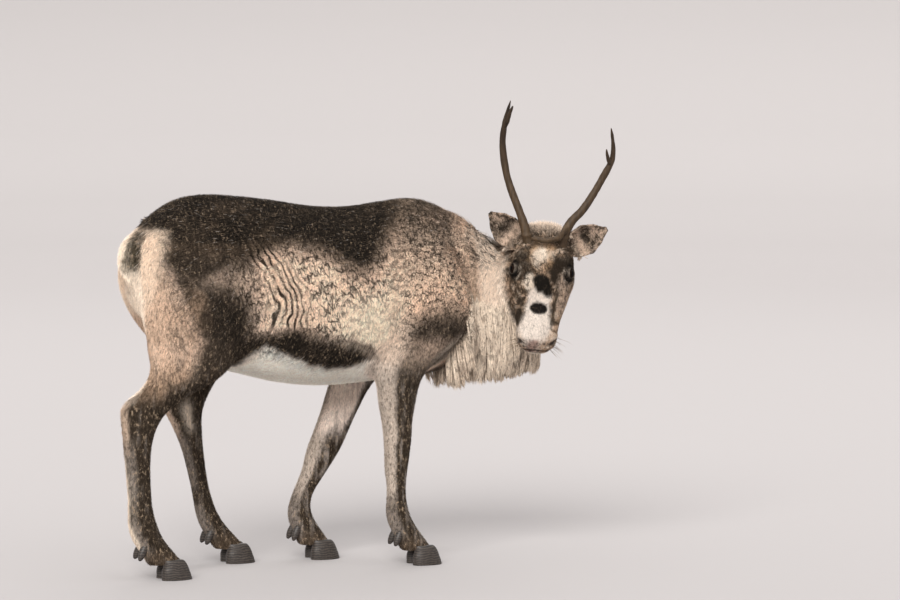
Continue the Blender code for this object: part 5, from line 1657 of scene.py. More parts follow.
@dataclass(frozen=True)
class Ruff:
    """Long hair of the throat, as fine locks that hang over one another.

    Attributes:
        count: how many strands.
        locks: how many locks they gather in.
        start, end: shares of the neck's length between which they grow.
        half_angle: how far up each side they reach.
        length: length of a strand.
        width: width of a strand.
        lean: lean towards the head at the chest, and how much less at the throat.
        front_shorter: how much shorter the strands at the throat are.
        floor: the lowest that a tip hangs.
        rings: rings of each strand under its tip.
    """

    count: int = 12200
    locks: int = 640
    start: float = 0.26
    end: float = 0.90
    half_angle: float = math.radians(98)
    length: float = 0.108
    width: float = 0.0031
    lean: tuple[float, float] = (0.16, 0.50)
    front_shorter: float = 0.30
    floor: float = 0.437
    rings: int = 3

    def build(self, hide: Hide) -> bpy.types.Object:
        """Grows the strands round the underside of the neck and gathers them in locks."""
        rng = np.random.default_rng(17)
        last = len(NECK) - 1
        place = last * (self.start + (self.end - self.start) * rng.random(self.count))
        angle = self.half_angle * (2 * rng.random(self.count) - 1)
        fine = refined(NECK, 16)
        steps = np.arange(len(fine)) / 16
        rows = np.stack([np.interp(place, steps, fine[:, k]) for k in range(5)], axis=1)
        later = np.stack([np.interp(place + 0.1, steps, fine[:, k]) for k in range(3)], axis=1)
        along = unit(later - rows[:, :3] + np.array([1e-6, 0, 0]))
        across = unit(np.cross([0, 0, 1], along))
        up = np.cross(along, across)
        high, wide = rows[:, 3][:, None], rows[:, 4][:, None]
        sine, cosine = np.sin(angle)[:, None], np.cos(angle)[:, None]
        out = unit(across * sine / wide - up * cosine / high)
        surface = rows[:, :3] - up * high * cosine + across * wide * sine
        roots = hide.settle(surface, np.full(self.count, 0.001))
        keep = (COAT.head_share(roots) < 0.3) & (roots[:, 2] < 0.735)
        place, angle, roots, out, across, along, sine = (
            values[keep] for values in (place, angle, roots, out, across, along, sine))
        count = len(roots)
        leaders = rng.choice(count, self.locks, replace=False)
        apart = np.linalg.norm(roots[:, None] - roots[leaders][None], axis=2)
        leader = leaders[np.argmin(apart, axis=1)]
        jitter = rng.normal(0, 1, (count, 3))
        jitter = 0.75 * jitter[leader] + 0.35 * jitter
        front = np.clip((place / last - self.start) / (self.end - self.start), 0, 1)
        front = front[:, None] ** 2
        lean = self.lean[0] - self.lean[1] * front + 0.10 * jitter[:, :1]
        down = np.array([0, 0, -1.0]) + along * lean
        down = down + across * 0.10 * jitter[:, 1:2]
        lie = unit(down + out * 0.18 * (1 - 0.6 * np.abs(sine)))
        chance = rng.random(count)
        chance = 0.75 * chance[leader] + 0.25 * chance
        length = self.length * (0.60 + 0.55 * chance) * (1 - self.front_shorter * front[:, 0])
        lowest = self.floor + 0.036 * chance[::-1] ** 2 + 0.062 * front[:, 0]
        reach = np.clip((roots[:, 2] - lowest) / -lie[:, 2], 0.02, None)
        length = np.minimum(length, reach)
        tips = roots + lie * length[:, None]
        tips += (tips[leader] - tips) * 0.45
        rings = [roots - out * 0.010]
        for number in range(1, self.rings):
            share = number / self.rings
            bow = out * (0.010 * math.sin(math.pi * share)) + across * 0.003 * jitter[:, 2:3]
            rings.append(roots + (tips - roots) * share + bow)
        width = self.width * rng.uniform(0.5, 1.4, count)
        widths = [width * size for size in (0.9, 1.0, 0.75)]
        shade = np.clip(1 + 0.05 * rng.normal(0, 1, count) + 0.08 * (chance - 0.5), 0.8, 1.2)
        tan = soft_step(0.1, 0.9, Noise(19).value(roots, (0.03, 0.03, 0.06)))
        colour = np.tile(Tone(204, 187, 168).linear(), (count, 1)) * shade[:, None]
        colour = laid_over(colour, TAN, 0.25 * tan)
        flat = np.stack([place, angle], axis=1)
        low, top = flat.min(axis=0), flat.max(axis=0)
        flat = 0.006 + 0.988 * (flat - low) / (top - low)
        tip = laid_over(colour, CREAM, np.full(count, 0.3))
        piece = Tufts(rings, tips, out, widths).build("ruff_locks", colour, tip, flat)
        return piece


AntlerPath = list[tuple[float, float, float, float]]


@dataclass(frozen=True)
class Antler:
    """One antler: steps off the pedicle to the picture's right, up and towards the
    viewer, each with the radius there.

    Attributes:
        side: the side of the head it is on.
        beam: the main branch.
        tines: the other branches by name.
        pedicle: where it stands, in the head's axes.
    """

    side: Side
    beam: AntlerPath
    tines: dict[str, AntlerPath]
    pedicle: tuple[float, float, float] = (0.064, 0.045, 0.048)

    def nodes(self) -> list[str]:
        """The solids that it stands for."""
        return [f"antler_{self.side.label}_beam",
                *(f"antler_{self.side.label}_{kind}" for kind in self.tines)]

    def branch(self, steps: AntlerPath, name: str) -> bpy.types.Object:
        """One branch as a fine tube."""
        along, across, out = self.pedicle
        start = HEAD_FRAME.place((along, across * self.side.value, out))
        rows = refined(steps, 14)
        places = np.array([HEAD_FRAME.on_view(start, tuple(row[:3])) for row in rows])
        radii = rows[:, 3].copy()
        radii[-8:] *= np.sqrt(np.linspace(1, 0.02, 8))
        return tube(places, radii, 22, name)

    def build(self, finish: bpy.types.Material) -> bpy.types.Object:
        """The whole antler with its grooves, pearls and burr."""
        obj = self.branch(self.beam, f"antler_{self.side.label}")
        for kind, steps in self.tines.items():
            combine(obj, self.branch(steps, kind), "UNION")
        turned_out(obj)
        places, normals = points_of(obj), normals_of(obj)
        along, across, out = self.pedicle
        base = HEAD_FRAME.place((along, across * self.side.value, out))
        height = places[:, 2] - base[2]
        groove = Noise(7).value(places, (0.0045, 0.0045, 0.045))
        pearl = np.maximum(0.0, Noise(8).value(places, 0.0045))
        lump = Noise(11).value(places, 0.03)
        low = soft_step(0.10, 0.02, height)
        burr = np.exp(-((height - 0.008) / 0.0045) ** 2)
        move = 0.0006 * groove + 0.0007 * lump + 0.0012 * pearl * low + 0.0028 * burr
        move += 0.0016 * burr * Noise(12).value(places, 0.004)
        set_points(obj, places + normals * move[:, None] + SHIFT)
        dark = soft_step(0.10, 0.30, height) * 0.55 + 0.35 * soft_step(0.0, 0.8, -groove)
        colour = np.tile(Tone(68, 53, 37).linear(), (len(places), 1))
        colour = laid_over(colour, Tone(38, 30, 25), np.clip(dark, 0, 0.9))
        colour = laid_over(colour, Tone(140, 116, 90), 0.30 * soft_step(0.3, 0.9, lump) * low)
        add_colours(obj.data, colour, "horn_colour")
        obj.data.shade_smooth()
        dress(obj, finish)
        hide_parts(*self.nodes())
        return obj


ANTLERS = (
    Antler(Side.RIGHT, [
        (0.004, -0.014, -0.004, 0.0150), (-0.002, 0.012, -0.002, 0.0122),
        (-0.012, 0.050, -0.008, 0.0108), (-0.033, 0.104, -0.020, 0.0100),
        (-0.051, 0.159, -0.028, 0.0094), (-0.060, 0.208, -0.030, 0.0090),
        (-0.063, 0.250, -0.024, 0.0086), (-0.058, 0.295, -0.012, 0.0070),
        (-0.052, 0.322, -0.004, 0.0052), (-0.043, 0.356, 0.006, 0.0026),
    ], {"crown_tine": [
        (-0.0595, 0.272, -0.022, 0.0056), (-0.0595, 0.284, -0.016, 0.0062),
        (-0.051, 0.303, -0.001, 0.0056), (-0.044, 0.326, 0.012, 0.0044),
        (-0.037, 0.342, 0.020, 0.0024),
    ]}),
    Antler(Side.LEFT, [
        (-0.002, -0.014, -0.004, 0.0150), (0.005, 0.012, -0.002, 0.0125),
        (0.023, 0.048, -0.006, 0.0114), (0.054, 0.081, -0.014, 0.0106),
        (0.082, 0.121, -0.022, 0.0098), (0.103, 0.158, -0.026, 0.0094),
        (0.123, 0.194, -0.024, 0.0086), (0.131, 0.216, -0.020, 0.0070),
        (0.132, 0.250, -0.010, 0.0054), (0.126, 0.292, 0.002, 0.0026),
    ], {"crown_tine": [
        (0.1255, 0.198, -0.022, 0.0064), (0.120, 0.209, -0.010, 0.0054),
        (0.1165, 0.223, 0.000, 0.0042), (0.1140, 0.238, 0.007, 0.0022),
    ], "brow_tine": [
        (0.0136, 0.0374, -0.002, 0.0076), (0.001, 0.021, 0.018, 0.0070),
        (-0.016, 0.008, 0.030, 0.0064), (-0.039, 0.002, 0.036, 0.0058),
        (-0.062, 0.005, 0.034, 0.0048), (-0.0790, 0.013, 0.028, 0.0028),
    ]}),
)


@dataclass(frozen=True)
class Hoof:
    """The two claws and two dewclaws of one foot.

    Attributes:
        limb: the leg it is on.
        length, width, height: a claw's sizes.
        spread: half the distance between the claws' middles.
    """

    limb: Limb
    length: float = 0.078
    width: float = 0.036
    height: float = 0.050
    spread: float = 0.0215

    def claw(self, way: int, count: int = 36) -> bpy.types.Object:
        """One main claw on its flat sole."""
        levels = refined([(0.000, 0.00, 1.00), (0.006, 0.01, 1.03), (0.020, 0.07, 0.97),
                          (0.036, 0.15, 0.86), (0.046, 0.23, 0.75),
                          (self.height, 0.30, 0.62)], 6)
        _, rear, front, y, _ = self.limb.sections[-1]
        foot = np.array([(rear + front) / 2 + 0.022, self.limb.side.value * y])
        angle = 2 * math.pi * np.arange(count) / count
        forward, side = np.cos(angle), np.sin(angle)
        rings = []
        for z, back, size in levels:
            toe = self.length * (0.5 - back)
            heel = self.length * -0.5 + 0.004 * float(soft_step(0.02, 0.036, np.array(z)))
            wide = np.where(side > 0, 0.56, 0.42) * self.width * size
            taper = 1 - 0.30 * np.maximum(0.0, forward) ** 2
            groove = 1 - 0.004 * math.sin(z * 700 + 2 * math.sin(z * 190))
            x = foot[0] + (toe + heel) / 2 + (toe - heel) / 2 * curved(forward, 0.85) * groove
            across = self.spread + wide * curved(side, 0.8) * taper * groove
            rings.append(np.stack([x, foot[1] + way * across, np.full(count, z)], axis=1))
        return loft(rings, "claw")

    def dewclaw(self, way: int) -> bpy.types.Object:
        """A small claw behind the pastern."""
        _, _, _, y, _ = self.limb.sections[-1]
        heel = self.limb.sections[-2][1]
        top = np.array([heel + 0.006, self.limb.side.value * y + way * 0.017, 0.088])
        aim = unit(np.array([-0.42, way * 0.12, -0.90]))
        rows = refined([(0.0, 0.80), (0.35, 1.0), (0.7, 0.85), (0.92, 0.5), (1.0, 0.22)], 5)
        places = top + aim * (0.040 * rows[:, :1])
        return tube(places, 0.0100 * rows[:, 1], 16, "dewclaw")

    def build(self, finish: bpy.types.Material) -> bpy.types.Object:
        """All four as one piece of horn."""
        forms = [make(way) for way in (-1, 1) for make in (self.claw, self.dewclaw)]
        bm = bmesh.new()
        for form in forms:
            bm.from_mesh(form.data)
        mesh = bpy.data.meshes.new(f"hoof_{self.limb.name}")
        bm.to_mesh(mesh)
        bm.free()
        drop(*forms)
        obj = link(bpy.data.objects.new(mesh.name, mesh))
        obj.data.transform(Matrix.Translation(Vector(SHIFT)))
        obj.data.shade_smooth()
        obj.data.materials.append(finish)
        kinds = ("claw_inner", "claw_outer", "dewclaw_inner", "dewclaw_outer")
        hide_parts(*(f"{self.limb.name}_{kind}" for kind in kinds))
        return obj


@dataclass(frozen=True)
class Eye:
    """An eyeball with a clear bulge over its iris.

    Attributes:
        side: the side of the head it is on.
    """

    side: Side

    def build(self, finish: bpy.types.Material) -> bpy.types.Object:
        """The eyeball, coloured as iris, pupil and dark edge."""
        centre = HEAD_FRAME.place((EYE_AT[0], EYE_AT[1] * self.side.value, EYE_AT[2]))
        axes = HEAD_FRAME.axes()
        obj = ball(centre, (EYE_RADIUS - 0.0002,) * 3, axes, f"eyeball_{self.side.label}",
                   64, 48)
        places = points_of(obj)
        facing = eye_axes(self.side.value)[1] @ axes
        offset = places - centre
        toward = unit(offset) @ facing
        places = places + facing * (0.0011 * soft_step(0.72, 0.95, toward))[:, None]
        sideways = offset @ (eye_axes(self.side.value) @ axes).T
        sideways[:, 1] = 0
        iris = np.hypot(sideways[:, 0], sideways[:, 2])
        pupil = np.hypot(sideways[:, 0] / 0.0070, sideways[:, 2] / 0.0042)
        colour = np.tile(Tone(22, 15, 11).linear(), (len(places), 1))
        rays = Noise(21).value(sideways, 0.0016)
        colour = laid_over(colour, Tone(46, 29, 18), soft_step(0.2, 1.0, rays)
                           * soft_step(0.0120, 0.0100, iris) * 0.8)
        colour = laid_over(colour, Tone(8, 8, 10), soft_step(1.15, 0.95, pupil))
        colour = laid_over(colour, Tone(20, 15, 13), soft_step(0.0115, 0.0140, iris))
        set_points(obj, places + SHIFT)
        add_colours(obj.data, colour, "eye_colour")
        obj.data.shade_smooth()
        dress(obj, finish)
        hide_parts(f"eye_{self.side.label}")
        return obj


@dataclass(frozen=True)
class Whiskers:
    """A few stiff hairs round the lips.

    Attributes:
        count: how many there are.
        length: the longest of them.
    """

    count: int = 34
    length: float = 0.050

    def build(self, hide: Hide, finish: bpy.types.Material) -> bpy.types.Object:
        """Grows them as thin tapered strands."""
        rng = np.random.default_rng(23)
        along = rng.uniform(0.300, 0.345, self.count)
        way = np.where(np.arange(self.count) % 2 == 0, 1, -1)
        out = rng.uniform(-0.045, -0.002, self.count)
        side = way * rng.uniform(0.030, 0.050, self.count)
        roots = hide.settle(HEAD_FRAME.place(np.stack([along, side, out], axis=1)),
                            np.full(self.count, -0.001))
        aim = np.stack([rng.uniform(-0.1, 0.5, self.count), way * 1.0,
                        rng.uniform(-0.7, 0.1, self.count)], axis=1)
        aim = unit(aim) @ HEAD_FRAME.axes()
        length = self.length * rng.uniform(0.45, 1.0, self.count)
        fall = np.array([0, 0, -1.0])
        chain = [roots + aim * (length * t)[:, None] + fall * (0.25 * length * t * t)[:, None]
                 for t in (0.0, 0.33, 0.66, 1.0)]
        tufts = Tufts(chain[:3], chain[3], np.tile([0.0, 0.0, 1.0], (self.count, 1)),
                      [np.full(self.count, size) for size in (0.0009, 0.0007, 0.0005)], 0.8)
        dark = np.tile(DARK_BROWN.linear(), (self.count, 1))
        flat = 0.02 + 0.96 * rng.random((self.count, 2))
        piece = tufts.build("whiskers", dark, laid_over(dark, TAN, np.full(self.count, 0.7)), flat)
        dress(piece, finish)
        return piece


class Graph:
    """A shader graph that nodes are added to.

    Attributes:
        tree: the nodes of a material or of a shader group.
    """

    def __init__(self, tree: bpy.types.NodeTree) -> None:
        self.tree = tree

    @classmethod
    def group(cls, name: str, inputs: dict[str, str], outputs: dict[str, str]) -> "Graph":
        """Starts a shader group with its inputs and outputs, as names and kinds."""
        graph = cls(bpy.data.node_groups.new(name, "ShaderNodeTree"))
        for way, sockets in (("INPUT", inputs), ("OUTPUT", outputs)):
            for label, kind in sockets.items():
                graph.tree.interface.new_socket(name=label, in_out=way,
                                                socket_type=f"NodeSocket{kind}")
        return graph

    def add(self, kind: str, inputs: dict[str | int, Value] | None = None,
            **settings: object) -> bpy.types.Node:
        """Adds a node.

        Args:
            kind: the kind of node.
            inputs: values, or other nodes' sockets, for some of its inputs.
            settings: its own options.

        Returns:
            The node.
        """
        node = self.tree.nodes.new(kind)
        for name, value in settings.items():
            setattr(node, name, value)
        for key, value in (inputs or {}).items():
            if isinstance(value, bpy.types.NodeSocket):
                self.tree.links.new(value, node.inputs[key])
            else:
                node.inputs[key].default_value = value
        return node

    def math(self, operation: str, *inputs: Value) -> bpy.types.NodeSocket:
        """One sum of numbers."""
        node = self.add("ShaderNodeMath", dict(enumerate(inputs)), operation=operation)
        return node.outputs[0]

    def vector(self, operation: str, *inputs: Value) -> bpy.types.NodeSocket:
        """One sum of vectors."""
        node = self.add("ShaderNodeVectorMath", dict(enumerate(inputs)), operation=operation)
        return node.outputs[0]

    def noise(self, place: Value, scale: Value, detail: float,
              roughness: float = 0.5) -> bpy.types.NodeSocket:
        """Soft noise round a half."""
        return self.add("ShaderNodeTexNoise", {"Vector": place, "Scale": scale, "Detail": detail,
                                               "Roughness": roughness}).outputs["Fac"]

    def step(self, value: Value, low: Value, high: Value, bottom: float = 0.0,
             top: float = 1.0) -> bpy.types.NodeSocket:
        """A smooth step of a value between two limits."""
        return self.add("ShaderNodeMapRange", {
            "Value": value, "From Min": low, "From Max": high, "To Min": bottom,
            "To Max": top}, interpolation_type="SMOOTHSTEP").outputs[0]

    def blend(self, kind: str, share: Value, below: Value, above: Value) -> bpy.types.NodeSocket:
        """One colour laid over another."""
        return self.add("ShaderNodeMix", {"Factor": share, "A": below, "B": above},
                        data_type="RGBA", blend_type=kind).outputs["Result"]

    def place(self) -> bpy.types.NodeSocket:
        """The object's own places."""
        return self.add("ShaderNodeTexCoord").outputs["Object"]


def crack_group() -> bpy.types.NodeTree:
    """A shader group that draws fine, wavy cracks between clumps of hair, which are darkened:
    partly darker hair deep in the coat, partly painted shade in the partings.
    """
    graph = Graph.group("hair cracks", {"Turn": "Vector", "Stretch": "Vector",
                                        "Width": "Float", "Mask": "Float"},
                        {"Crack": "Float"})
    given = graph.add("NodeGroupInput").outputs
    place = graph.place()
    for size, reach in ((30.0, 0.013), (130.0, 0.0045)):
        wobble = graph.add("ShaderNodeTexNoise", {"Vector": place, "Scale": size,
                                                  "Detail": 1.0}).outputs["Color"]
        centred = graph.vector("SUBTRACT", wobble, (0.5, 0.5, 0.5))
        place = graph.vector("MULTIPLY_ADD", centred, (reach, reach, reach), place)
    turned = graph.add("ShaderNodeMapping", {"Vector": place, "Rotation": given["Turn"]})
    cell = graph.vector("MULTIPLY", turned.outputs[0], given["Stretch"])
    edge = graph.add("ShaderNodeTexVoronoi", {"Vector": cell, "Scale": 1.0},
                     feature="DISTANCE_TO_EDGE").outputs["Distance"]
    ridge = graph.math("ABSOLUTE", graph.math("SUBTRACT", graph.noise(cell, 1.3, 1.5), 0.5))
    nearest = graph.math("MINIMUM", edge, graph.math("MULTIPLY", ridge, 4.5))
    patchy = graph.step(graph.noise(place, 65.0, 2.0), 0.38, 0.62, 0.20, 1.6)
    wide = graph.math("MULTIPLY", patchy, given["Width"])
    line = graph.step(nearest, 0.0, wide, 1.0, 0.0)
    graph.add("NodeGroupOutput", {"Crack": graph.math("MULTIPLY", line, given["Mask"])})
    return graph.tree


def grain_group() -> bpy.types.NodeTree:
    """A shader group that varies a colour finely and gives a height for bump."""
    graph = Graph.group("fine grain", {"Color": "Color", "Scale": "Float",
                                       "Stretch": "Vector", "Amount": "Float"},
                        {"Color": "Color", "Height": "Float"})
    given = graph.add("NodeGroupInput").outputs
    place = graph.vector("MULTIPLY", graph.place(), given["Stretch"])
    noise = graph.noise(place, given["Scale"], 4.0, 0.62)
    bright = graph.math("MULTIPLY_ADD", graph.step(noise, 0.3, 0.7, -1.0, 1.0),
                        given["Amount"], 1.0)
    varied = graph.add("ShaderNodeVectorMath", {0: given["Color"], "Scale": bright},
                       operation="SCALE").outputs[0]
    graph.add("NodeGroupOutput", {"Color": varied, "Height": noise})
    return graph.tree


def fleck_group() -> bpy.types.NodeTree:
    """A shader group that mixes pale hairs into dark fur and dark ones into tan fur."""
    graph = Graph.group("flecks", {"Color": "Color", "Share": "Float"}, {"Color": "Color"})
    given = graph.add("NodeGroupInput").outputs
    colour, share = given["Color"], given["Share"]
    place = graph.vector("MULTIPLY", graph.place(), (0.90, 1.0, 0.50))
    noise = graph.noise(place, 165.0, 3.0, 0.72)
    blue = graph.add("ShaderNodeSeparateColor", {0: colour}).outputs[2]
    tan = graph.step(blue, 0.56, 0.34, 0.0, 0.62)
    dark = graph.math("MULTIPLY", graph.step(noise, 0.50, 0.40), tan)
    seen = graph.blend("DARKEN", dark, colour, (*DARK_BROWN.linear() * 0.8, 1))
    pale = graph.math("MULTIPLY", graph.step(noise, 0.575, 0.66), share)
    seen = graph.blend("LIGHTEN", pale, seen, (*Tone(172, 150, 126).linear(), 1))
    graph.add("NodeGroupOutput", {"Color": seen})
    return graph.tree


# Turn in degrees about the side-to-side axis, cell sizes in metres, width as a share
CRACK_KINDS = (
    (8.0, (0.0080, 0.050, 0.024), 0.140),
    (4.0, (0.0066, 0.050, 0.0140), 0.130),
    (-42.0, (0.032, 0.050, 0.0080), 0.115),
)


@dataclass(frozen=True)
class Groups:
    """The shader groups that materials share."""

    grain: bpy.types.NodeTree
    cracks: bpy.types.NodeTree
    flecks: bpy.types.NodeTree


@dataclass(frozen=True)
class Finish:
    """A surface that takes its colour from a mesh's own points and varies it finely.

    Attributes:
        name: the material's name.
        attribute: the colours on the mesh.
        roughness: how matt it is.
        specular: how much it mirrors.
        grain_scale: how fine its variation is.
        grain_stretch: the variation's stretch along each axis.
        grain_amount: how strong the variation is.
        bump: height of its relief, in metres.
        coat: share of a clear coat on it.
        sheen: share of a soft sheen on it.
        furry: whether the coat's flecks and cracks run over it.
    """

    name: str
    attribute: str
    roughness: float
    specular: float = 0.25
    grain_scale: float = 300.0
    grain_stretch: tuple[float, float, float] = (1.0, 1.0, 1.0)
    grain_amount: float = 0.12
    bump: float = 0.0
    coat: float = 0.0
    sheen: float = 0.0
    furry: bool = False

    def crack(self, graph: Graph, colour: bpy.types.NodeSocket,
              cracks: bpy.types.NodeTree) -> bpy.types.NodeSocket:
        """Lays the long folds' lines and the cracks of all three kinds over a colour, as dark
        lines: partly the darker hair deep in the coat, partly painted shade in the folds and
        partings.

        Args:
            graph: the material's nodes.
            colour: the colour that they lie on.
            cracks: the shader group that draws one kind.

        Returns:
            The new colour.
        """
        mask = graph.add("ShaderNodeAttribute", attribute_name="crack_mask").outputs
        kinds = graph.add("ShaderNodeSeparateColor", {0: mask["Color"]}).outputs
        place = graph.add("ShaderNodeAttribute", attribute_name="fold_place").outputs["Fac"]
        wave = graph.math("SINE", graph.math("MULTIPLY", place, 2 * math.pi / FOLD_SPACING))
        strongest = graph.math("MULTIPLY", graph.step(wave, 0.0, 0.72, 0.0, 1.2),
                               mask["Alpha"])
        for number, (turn, sizes, width) in enumerate(CRACK_KINDS):
            kind = graph.add("ShaderNodeGroup", {
                "Turn": (0.0, math.radians(turn), 0.0), "Width": width,
                "Stretch": tuple(1 / size for size in sizes), "Mask": kinds[number],
            }, node_tree=cracks)
            strongest = graph.math("MAXIMUM", strongest, kind.outputs["Crack"])
        # Dark lines in the folds and cracks: partly darker hair deep in the coat, partly painted
        # shade
        shown = graph.math("MINIMUM", graph.math("MULTIPLY", strongest, 0.95), 0.95)
        return graph.blend("MIX", shown, colour, (*DARK_BROWN.linear() * 0.5, 1))

    def build(self, groups: Groups) -> bpy.types.Material:
        """Makes the material."""
        made = bpy.data.materials.new(self.name)
        made.use_nodes = True
        graph = Graph(made.node_tree)
        shader = made.node_tree.nodes["Principled BSDF"]
        for name, value in (("Roughness", self.roughness), ("Coat Weight", self.coat),
                            ("Specular IOR Level", self.specular),
                            ("Coat Roughness", 0.05), ("Sheen Weight", self.sheen)):
            shader.inputs[name].default_value = value
        colour = graph.add("ShaderNodeAttribute", attribute_name=self.attribute)
        vary = graph.add("ShaderNodeGroup", {
            "Color": colour.outputs["Color"], "Scale": self.grain_scale,
            "Stretch": self.grain_stretch, "Amount": self.grain_amount,
        }, node_tree=groups.grain).outputs
        seen = vary["Color"]
        if self.furry:
            share = graph.add("ShaderNodeAttribute", attribute_name="fleck_share")
            seen = graph.add("ShaderNodeGroup", {
                "Color": seen, "Share": share.outputs["Fac"],
            }, node_tree=groups.flecks).outputs["Color"]
            seen = self.crack(graph, seen, groups.cracks)
        made.node_tree.links.new(seen, shader.inputs["Base Color"])
        if self.bump:
            relief = graph.add("ShaderNodeBump", {"Strength": 0.8, "Distance": self.bump,
                                                  "Height": vary["Height"]})
            made.node_tree.links.new(relief.outputs["Normal"], shader.inputs["Normal"])
        return made


HIDE_FINISH = Finish("hide", "coat_colour", 0.95, 0.15, 420.0, (1.0, 1.0, 0.45), 0.20,
                     0.0012, furry=True)
HAIR_FINISH = Finish("winter_hair", "coat_colour", 0.85, 0.12, 260.0, (1.0, 1.0, 0.40),
                     0.20, sheen=0.02, furry=True)
HORN_FINISH = Finish("antler_horn", "horn_colour", 0.58, 0.25, 160.0, (1.0, 1.0, 0.18),
                     0.28, 0.0006)
EYE_FINISH = Finish("eye_wet", "eye_colour", 0.16, 0.03, 500.0, grain_amount=0.05)


@dataclass(frozen=True)
class HoofFinish:
    """Dark horn with growth rings across it.

    Attributes:
        name: the material's name.
        dark, pale: the two colours that it varies between.
    """

    name: str = "hoof_horn"
    dark: Tone = Tone(36, 32, 30)
    pale: Tone = Tone(74, 66, 60)

    def build(self, groups: Groups) -> bpy.types.Material:
        """Makes the material."""
        made = bpy.data.materials.new(self.name)
        made.use_nodes = True
        graph = Graph(made.node_tree)
        shader = made.node_tree.nodes["Principled BSDF"]
        shader.inputs["Roughness"].default_value = 0.48
        rings = graph.add("ShaderNodeTexWave", {
            "Vector": graph.place(), "Scale": 52.0, "Distortion": 6.0, "Detail": 3.0,
        }, bands_direction="Z").outputs["Fac"]
        colour = graph.blend("MIX", rings, (*self.dark.linear(), 1), (*self.pale.linear(), 1))
        vary = graph.add("ShaderNodeGroup", {
            "Color": colour, "Scale": 240.0, "Stretch": (1.0, 1.0, 0.3), "Amount": 0.25,
        }, node_tree=groups.grain)
        relief = graph.add("ShaderNodeBump", {"Strength": 0.3, "Distance": 0.0005,
                                              "Height": rings})
        links = made.node_tree.links
        links.new(vary.outputs["Color"], shader.inputs["Base Color"])
        links.new(relief.outputs["Normal"], shader.inputs["Normal"])
        return made


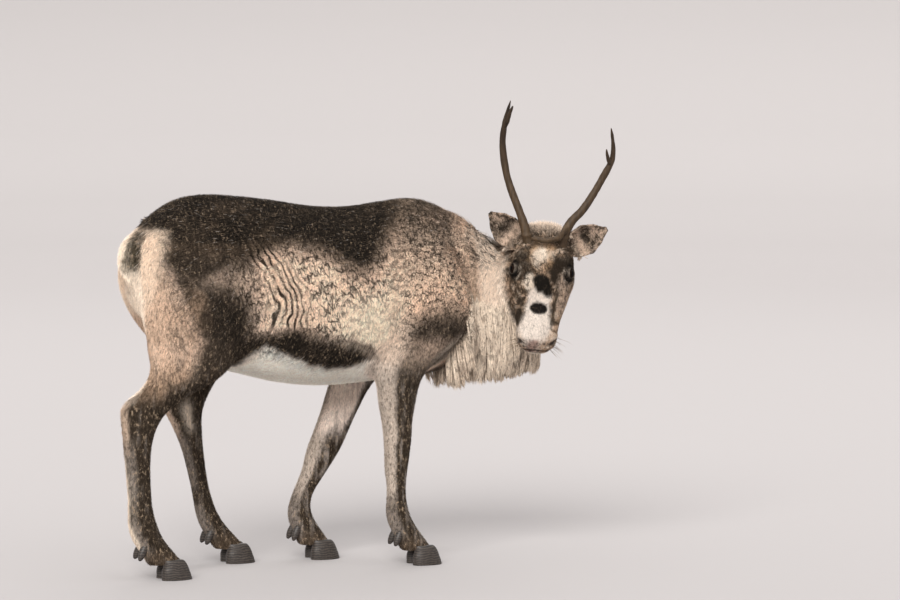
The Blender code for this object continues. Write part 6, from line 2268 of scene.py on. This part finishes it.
@dataclass(frozen=True)
class Studio:
    """Pale floor and backdrop, soft light, and the camera at the photo's angle.

    Attributes:
        target: the point that the camera looks at, in the body's frame.
        azimuth, elevation: the camera's direction, in degrees.
        distance: from the target to the camera.
        lens: focal length on a 36 mm sensor.
        pale: the floor's colour.
        backdrop_shade: how much darker the upright backdrop is, which faces the key.
    """

    target: tuple[float, float, float] = (0.41, 0.0, 0.67)
    azimuth: float = -22.0
    elevation: float = 4.0
    distance: float = 9.0
    lens: float = 138.5
    pale: tuple[float, float, float] = (0.485, 0.465, 0.466)
    backdrop_shade: float = 0.19

    def back(self) -> Vector:
        """The direction from the target to the camera."""
        turn, lift = math.radians(self.azimuth), math.radians(self.elevation)
        return Vector((math.sin(turn) * math.cos(lift), -math.cos(turn) * math.cos(lift),
                       math.sin(lift)))

    def camera(self) -> None:
        """Sets up the camera."""
        data = bpy.data.cameras.new("camera")
        data.sensor_width = 36.0
        data.lens = self.lens
        camera = link(bpy.data.objects.new("camera", data))
        back = self.back()
        camera.location = Vector(self.target) + Vector(SHIFT) + back * self.distance
        camera.rotation_mode = "QUATERNION"
        camera.rotation_quaternion = (-back).to_track_quat("-Z", "Y")
        data.clip_start, data.clip_end = 0.1, 100.0
        bpy.context.scene.camera = camera

    def floor(self) -> None:
        """A wide round floor whose rim turns up into a backdrop."""
        rows = np.array([(9.0, 0.0), (11.5, 0.0), (12.2, 0.03), (12.9, 0.14), (13.5, 0.38),
                         (14.0, 0.8), (14.3, 1.6), (14.4, 6.0)])
        count = 96
        angle = 2 * math.pi * np.arange(count) / count
        rings = [np.stack([reach * np.cos(angle), reach * np.sin(angle),
                           np.full(count, rise)], axis=1) for reach, rise in rows]
        faces = [[row * count + k, (row + 1) * count + k,
                  (row + 1) * count + (k + 1) % count, row * count + (k + 1) % count]
                 for row in range(len(rings) - 1) for k in range(count)]
        faces.append(list(range(count)))
        floor = mesh_object(np.concatenate(rings), faces, "studio_floor")
        floor.data.shade_smooth()
        shade = 1 - self.backdrop_shade * soft_step(11.5, 13.9, np.repeat(rows[:, 0], count))
        add_colours(floor.data, shade[:, None] * np.array(self.pale), "studio_colour")
        material = bpy.data.materials.new("studio_pale")
        material.use_nodes = True
        graph = Graph(material.node_tree)
        shader = material.node_tree.nodes["Principled BSDF"]
        colour = graph.add("ShaderNodeAttribute", attribute_name="studio_colour")
        graph.tree.links.new(colour.outputs["Color"], shader.inputs["Base Color"])
        shader.inputs["Roughness"].default_value = 0.9
        shader.inputs["Specular IOR Level"].default_value = 0.1
        floor.data.materials.append(material)

    def lamp(self, name: str, place: tuple[float, ...], power: float,
             colour: tuple[float, ...]) -> None:
        """One far, very soft lamp that shines on the whole studio."""
        data = bpy.data.lights.new(name, "SUN")
        data.angle = math.radians(35)
        data.energy = power
        data.color = colour
        lamp = link(bpy.data.objects.new(name, data))
        lamp.location = place
        lamp.rotation_mode = "QUATERNION"
        lamp.rotation_quaternion = (-Vector(place)).to_track_quat("-Z", "Y")

    def light(self) -> None:
        """An even pale sky with a soft key from above and a weak fill."""
        world = bpy.data.worlds.new("studio")
        world.use_nodes = True
        sky = world.node_tree.nodes["Background"]
        sky.inputs["Color"].default_value = (1.0, 0.975, 0.96, 1)
        sky.inputs["Strength"].default_value = 1.0
        bpy.context.scene.world = world
        self.lamp("key", (-3.6, -5.2, 4.1), 3.4, (1.0, 0.98, 0.95))
        self.lamp("rim", (3.0, 4.0, 5.0), 0.3, (1.0, 0.99, 0.98))
        scene = bpy.context.scene
        scene.view_settings.view_transform = "Standard"
        scene.view_settings.look = "None"

    def build(self) -> None:
        """Everything round the animal."""
        self.camera()
        self.floor()
        self.light()


FLESH = (
    "head", "neck", "torso", "tail", "ear_left", "ear_right",
    *(f"{leg}_{part}" for leg in ("hind_left", "hind_right")
      for part in ("thigh", "gaskin", "cannon")),
    *(f"{leg}_{part}" for leg in ("fore_left", "fore_right")
      for part in ("shoulder", "forearm", "cannon")),
)


def main() -> None:
    """Builds the studio and the animal, piece by piece."""
    logging.basicConfig(level=logging.INFO, format="%(message)s")
    Studio().build()
    groups = Groups(grain_group(), crack_group(), fleck_group())
    hide_finish, hair_finish = (kind.build(groups) for kind in (HIDE_FINISH, HAIR_FINISH))
    skin = Skin().build()
    LOG.info("skin: %d triangles", len(triangles_of(skin)))
    hide = Hide(skin)
    pieces = []
    for number, growth in enumerate(GROWTHS):
        pieces += Fur(hide).grow(growth, 100 + number)
    pieces.append(Ruff().build(hide))
    for piece in pieces:
        dress(piece, hair_finish)
    pieces.append(Whiskers().build(hide, hair_finish))
    colours = coat_colours(hide.points)
    # Off the head the skin is darkened by up to 0.15: painted shade where it shows between the
    # tufts
    shade = 1 - 0.15 * (1 - COAT.head_share(hide.points))
    add_colours(skin.data, colours * shade[:, None])
    add_cracks(skin.data, hide.points)
    set_points(skin, hide.points + SHIFT)
    skin.data.shade_smooth()
    dress(skin, hide_finish)
    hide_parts(*FLESH)
    horn, wet, hoof = (kind.build(groups) for kind in (HORN_FINISH, EYE_FINISH, HoofFinish()))
    pieces += [skin, *(antler.build(horn) for antler in ANTLERS)]
    pieces += [Eye(side).build(wet) for side in Side]
    pieces += [Hoof(limb).build(hoof) for limb in LIMBS]
    total = 0
    for piece in pieces:
        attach(piece, "root")
        count = len(triangles_of(piece))
        total += count
        LOG.info("%s: %d triangles", piece.name, count)
    LOG.info("whole: %d triangles", total)


if __name__ == "__main__":
    main()
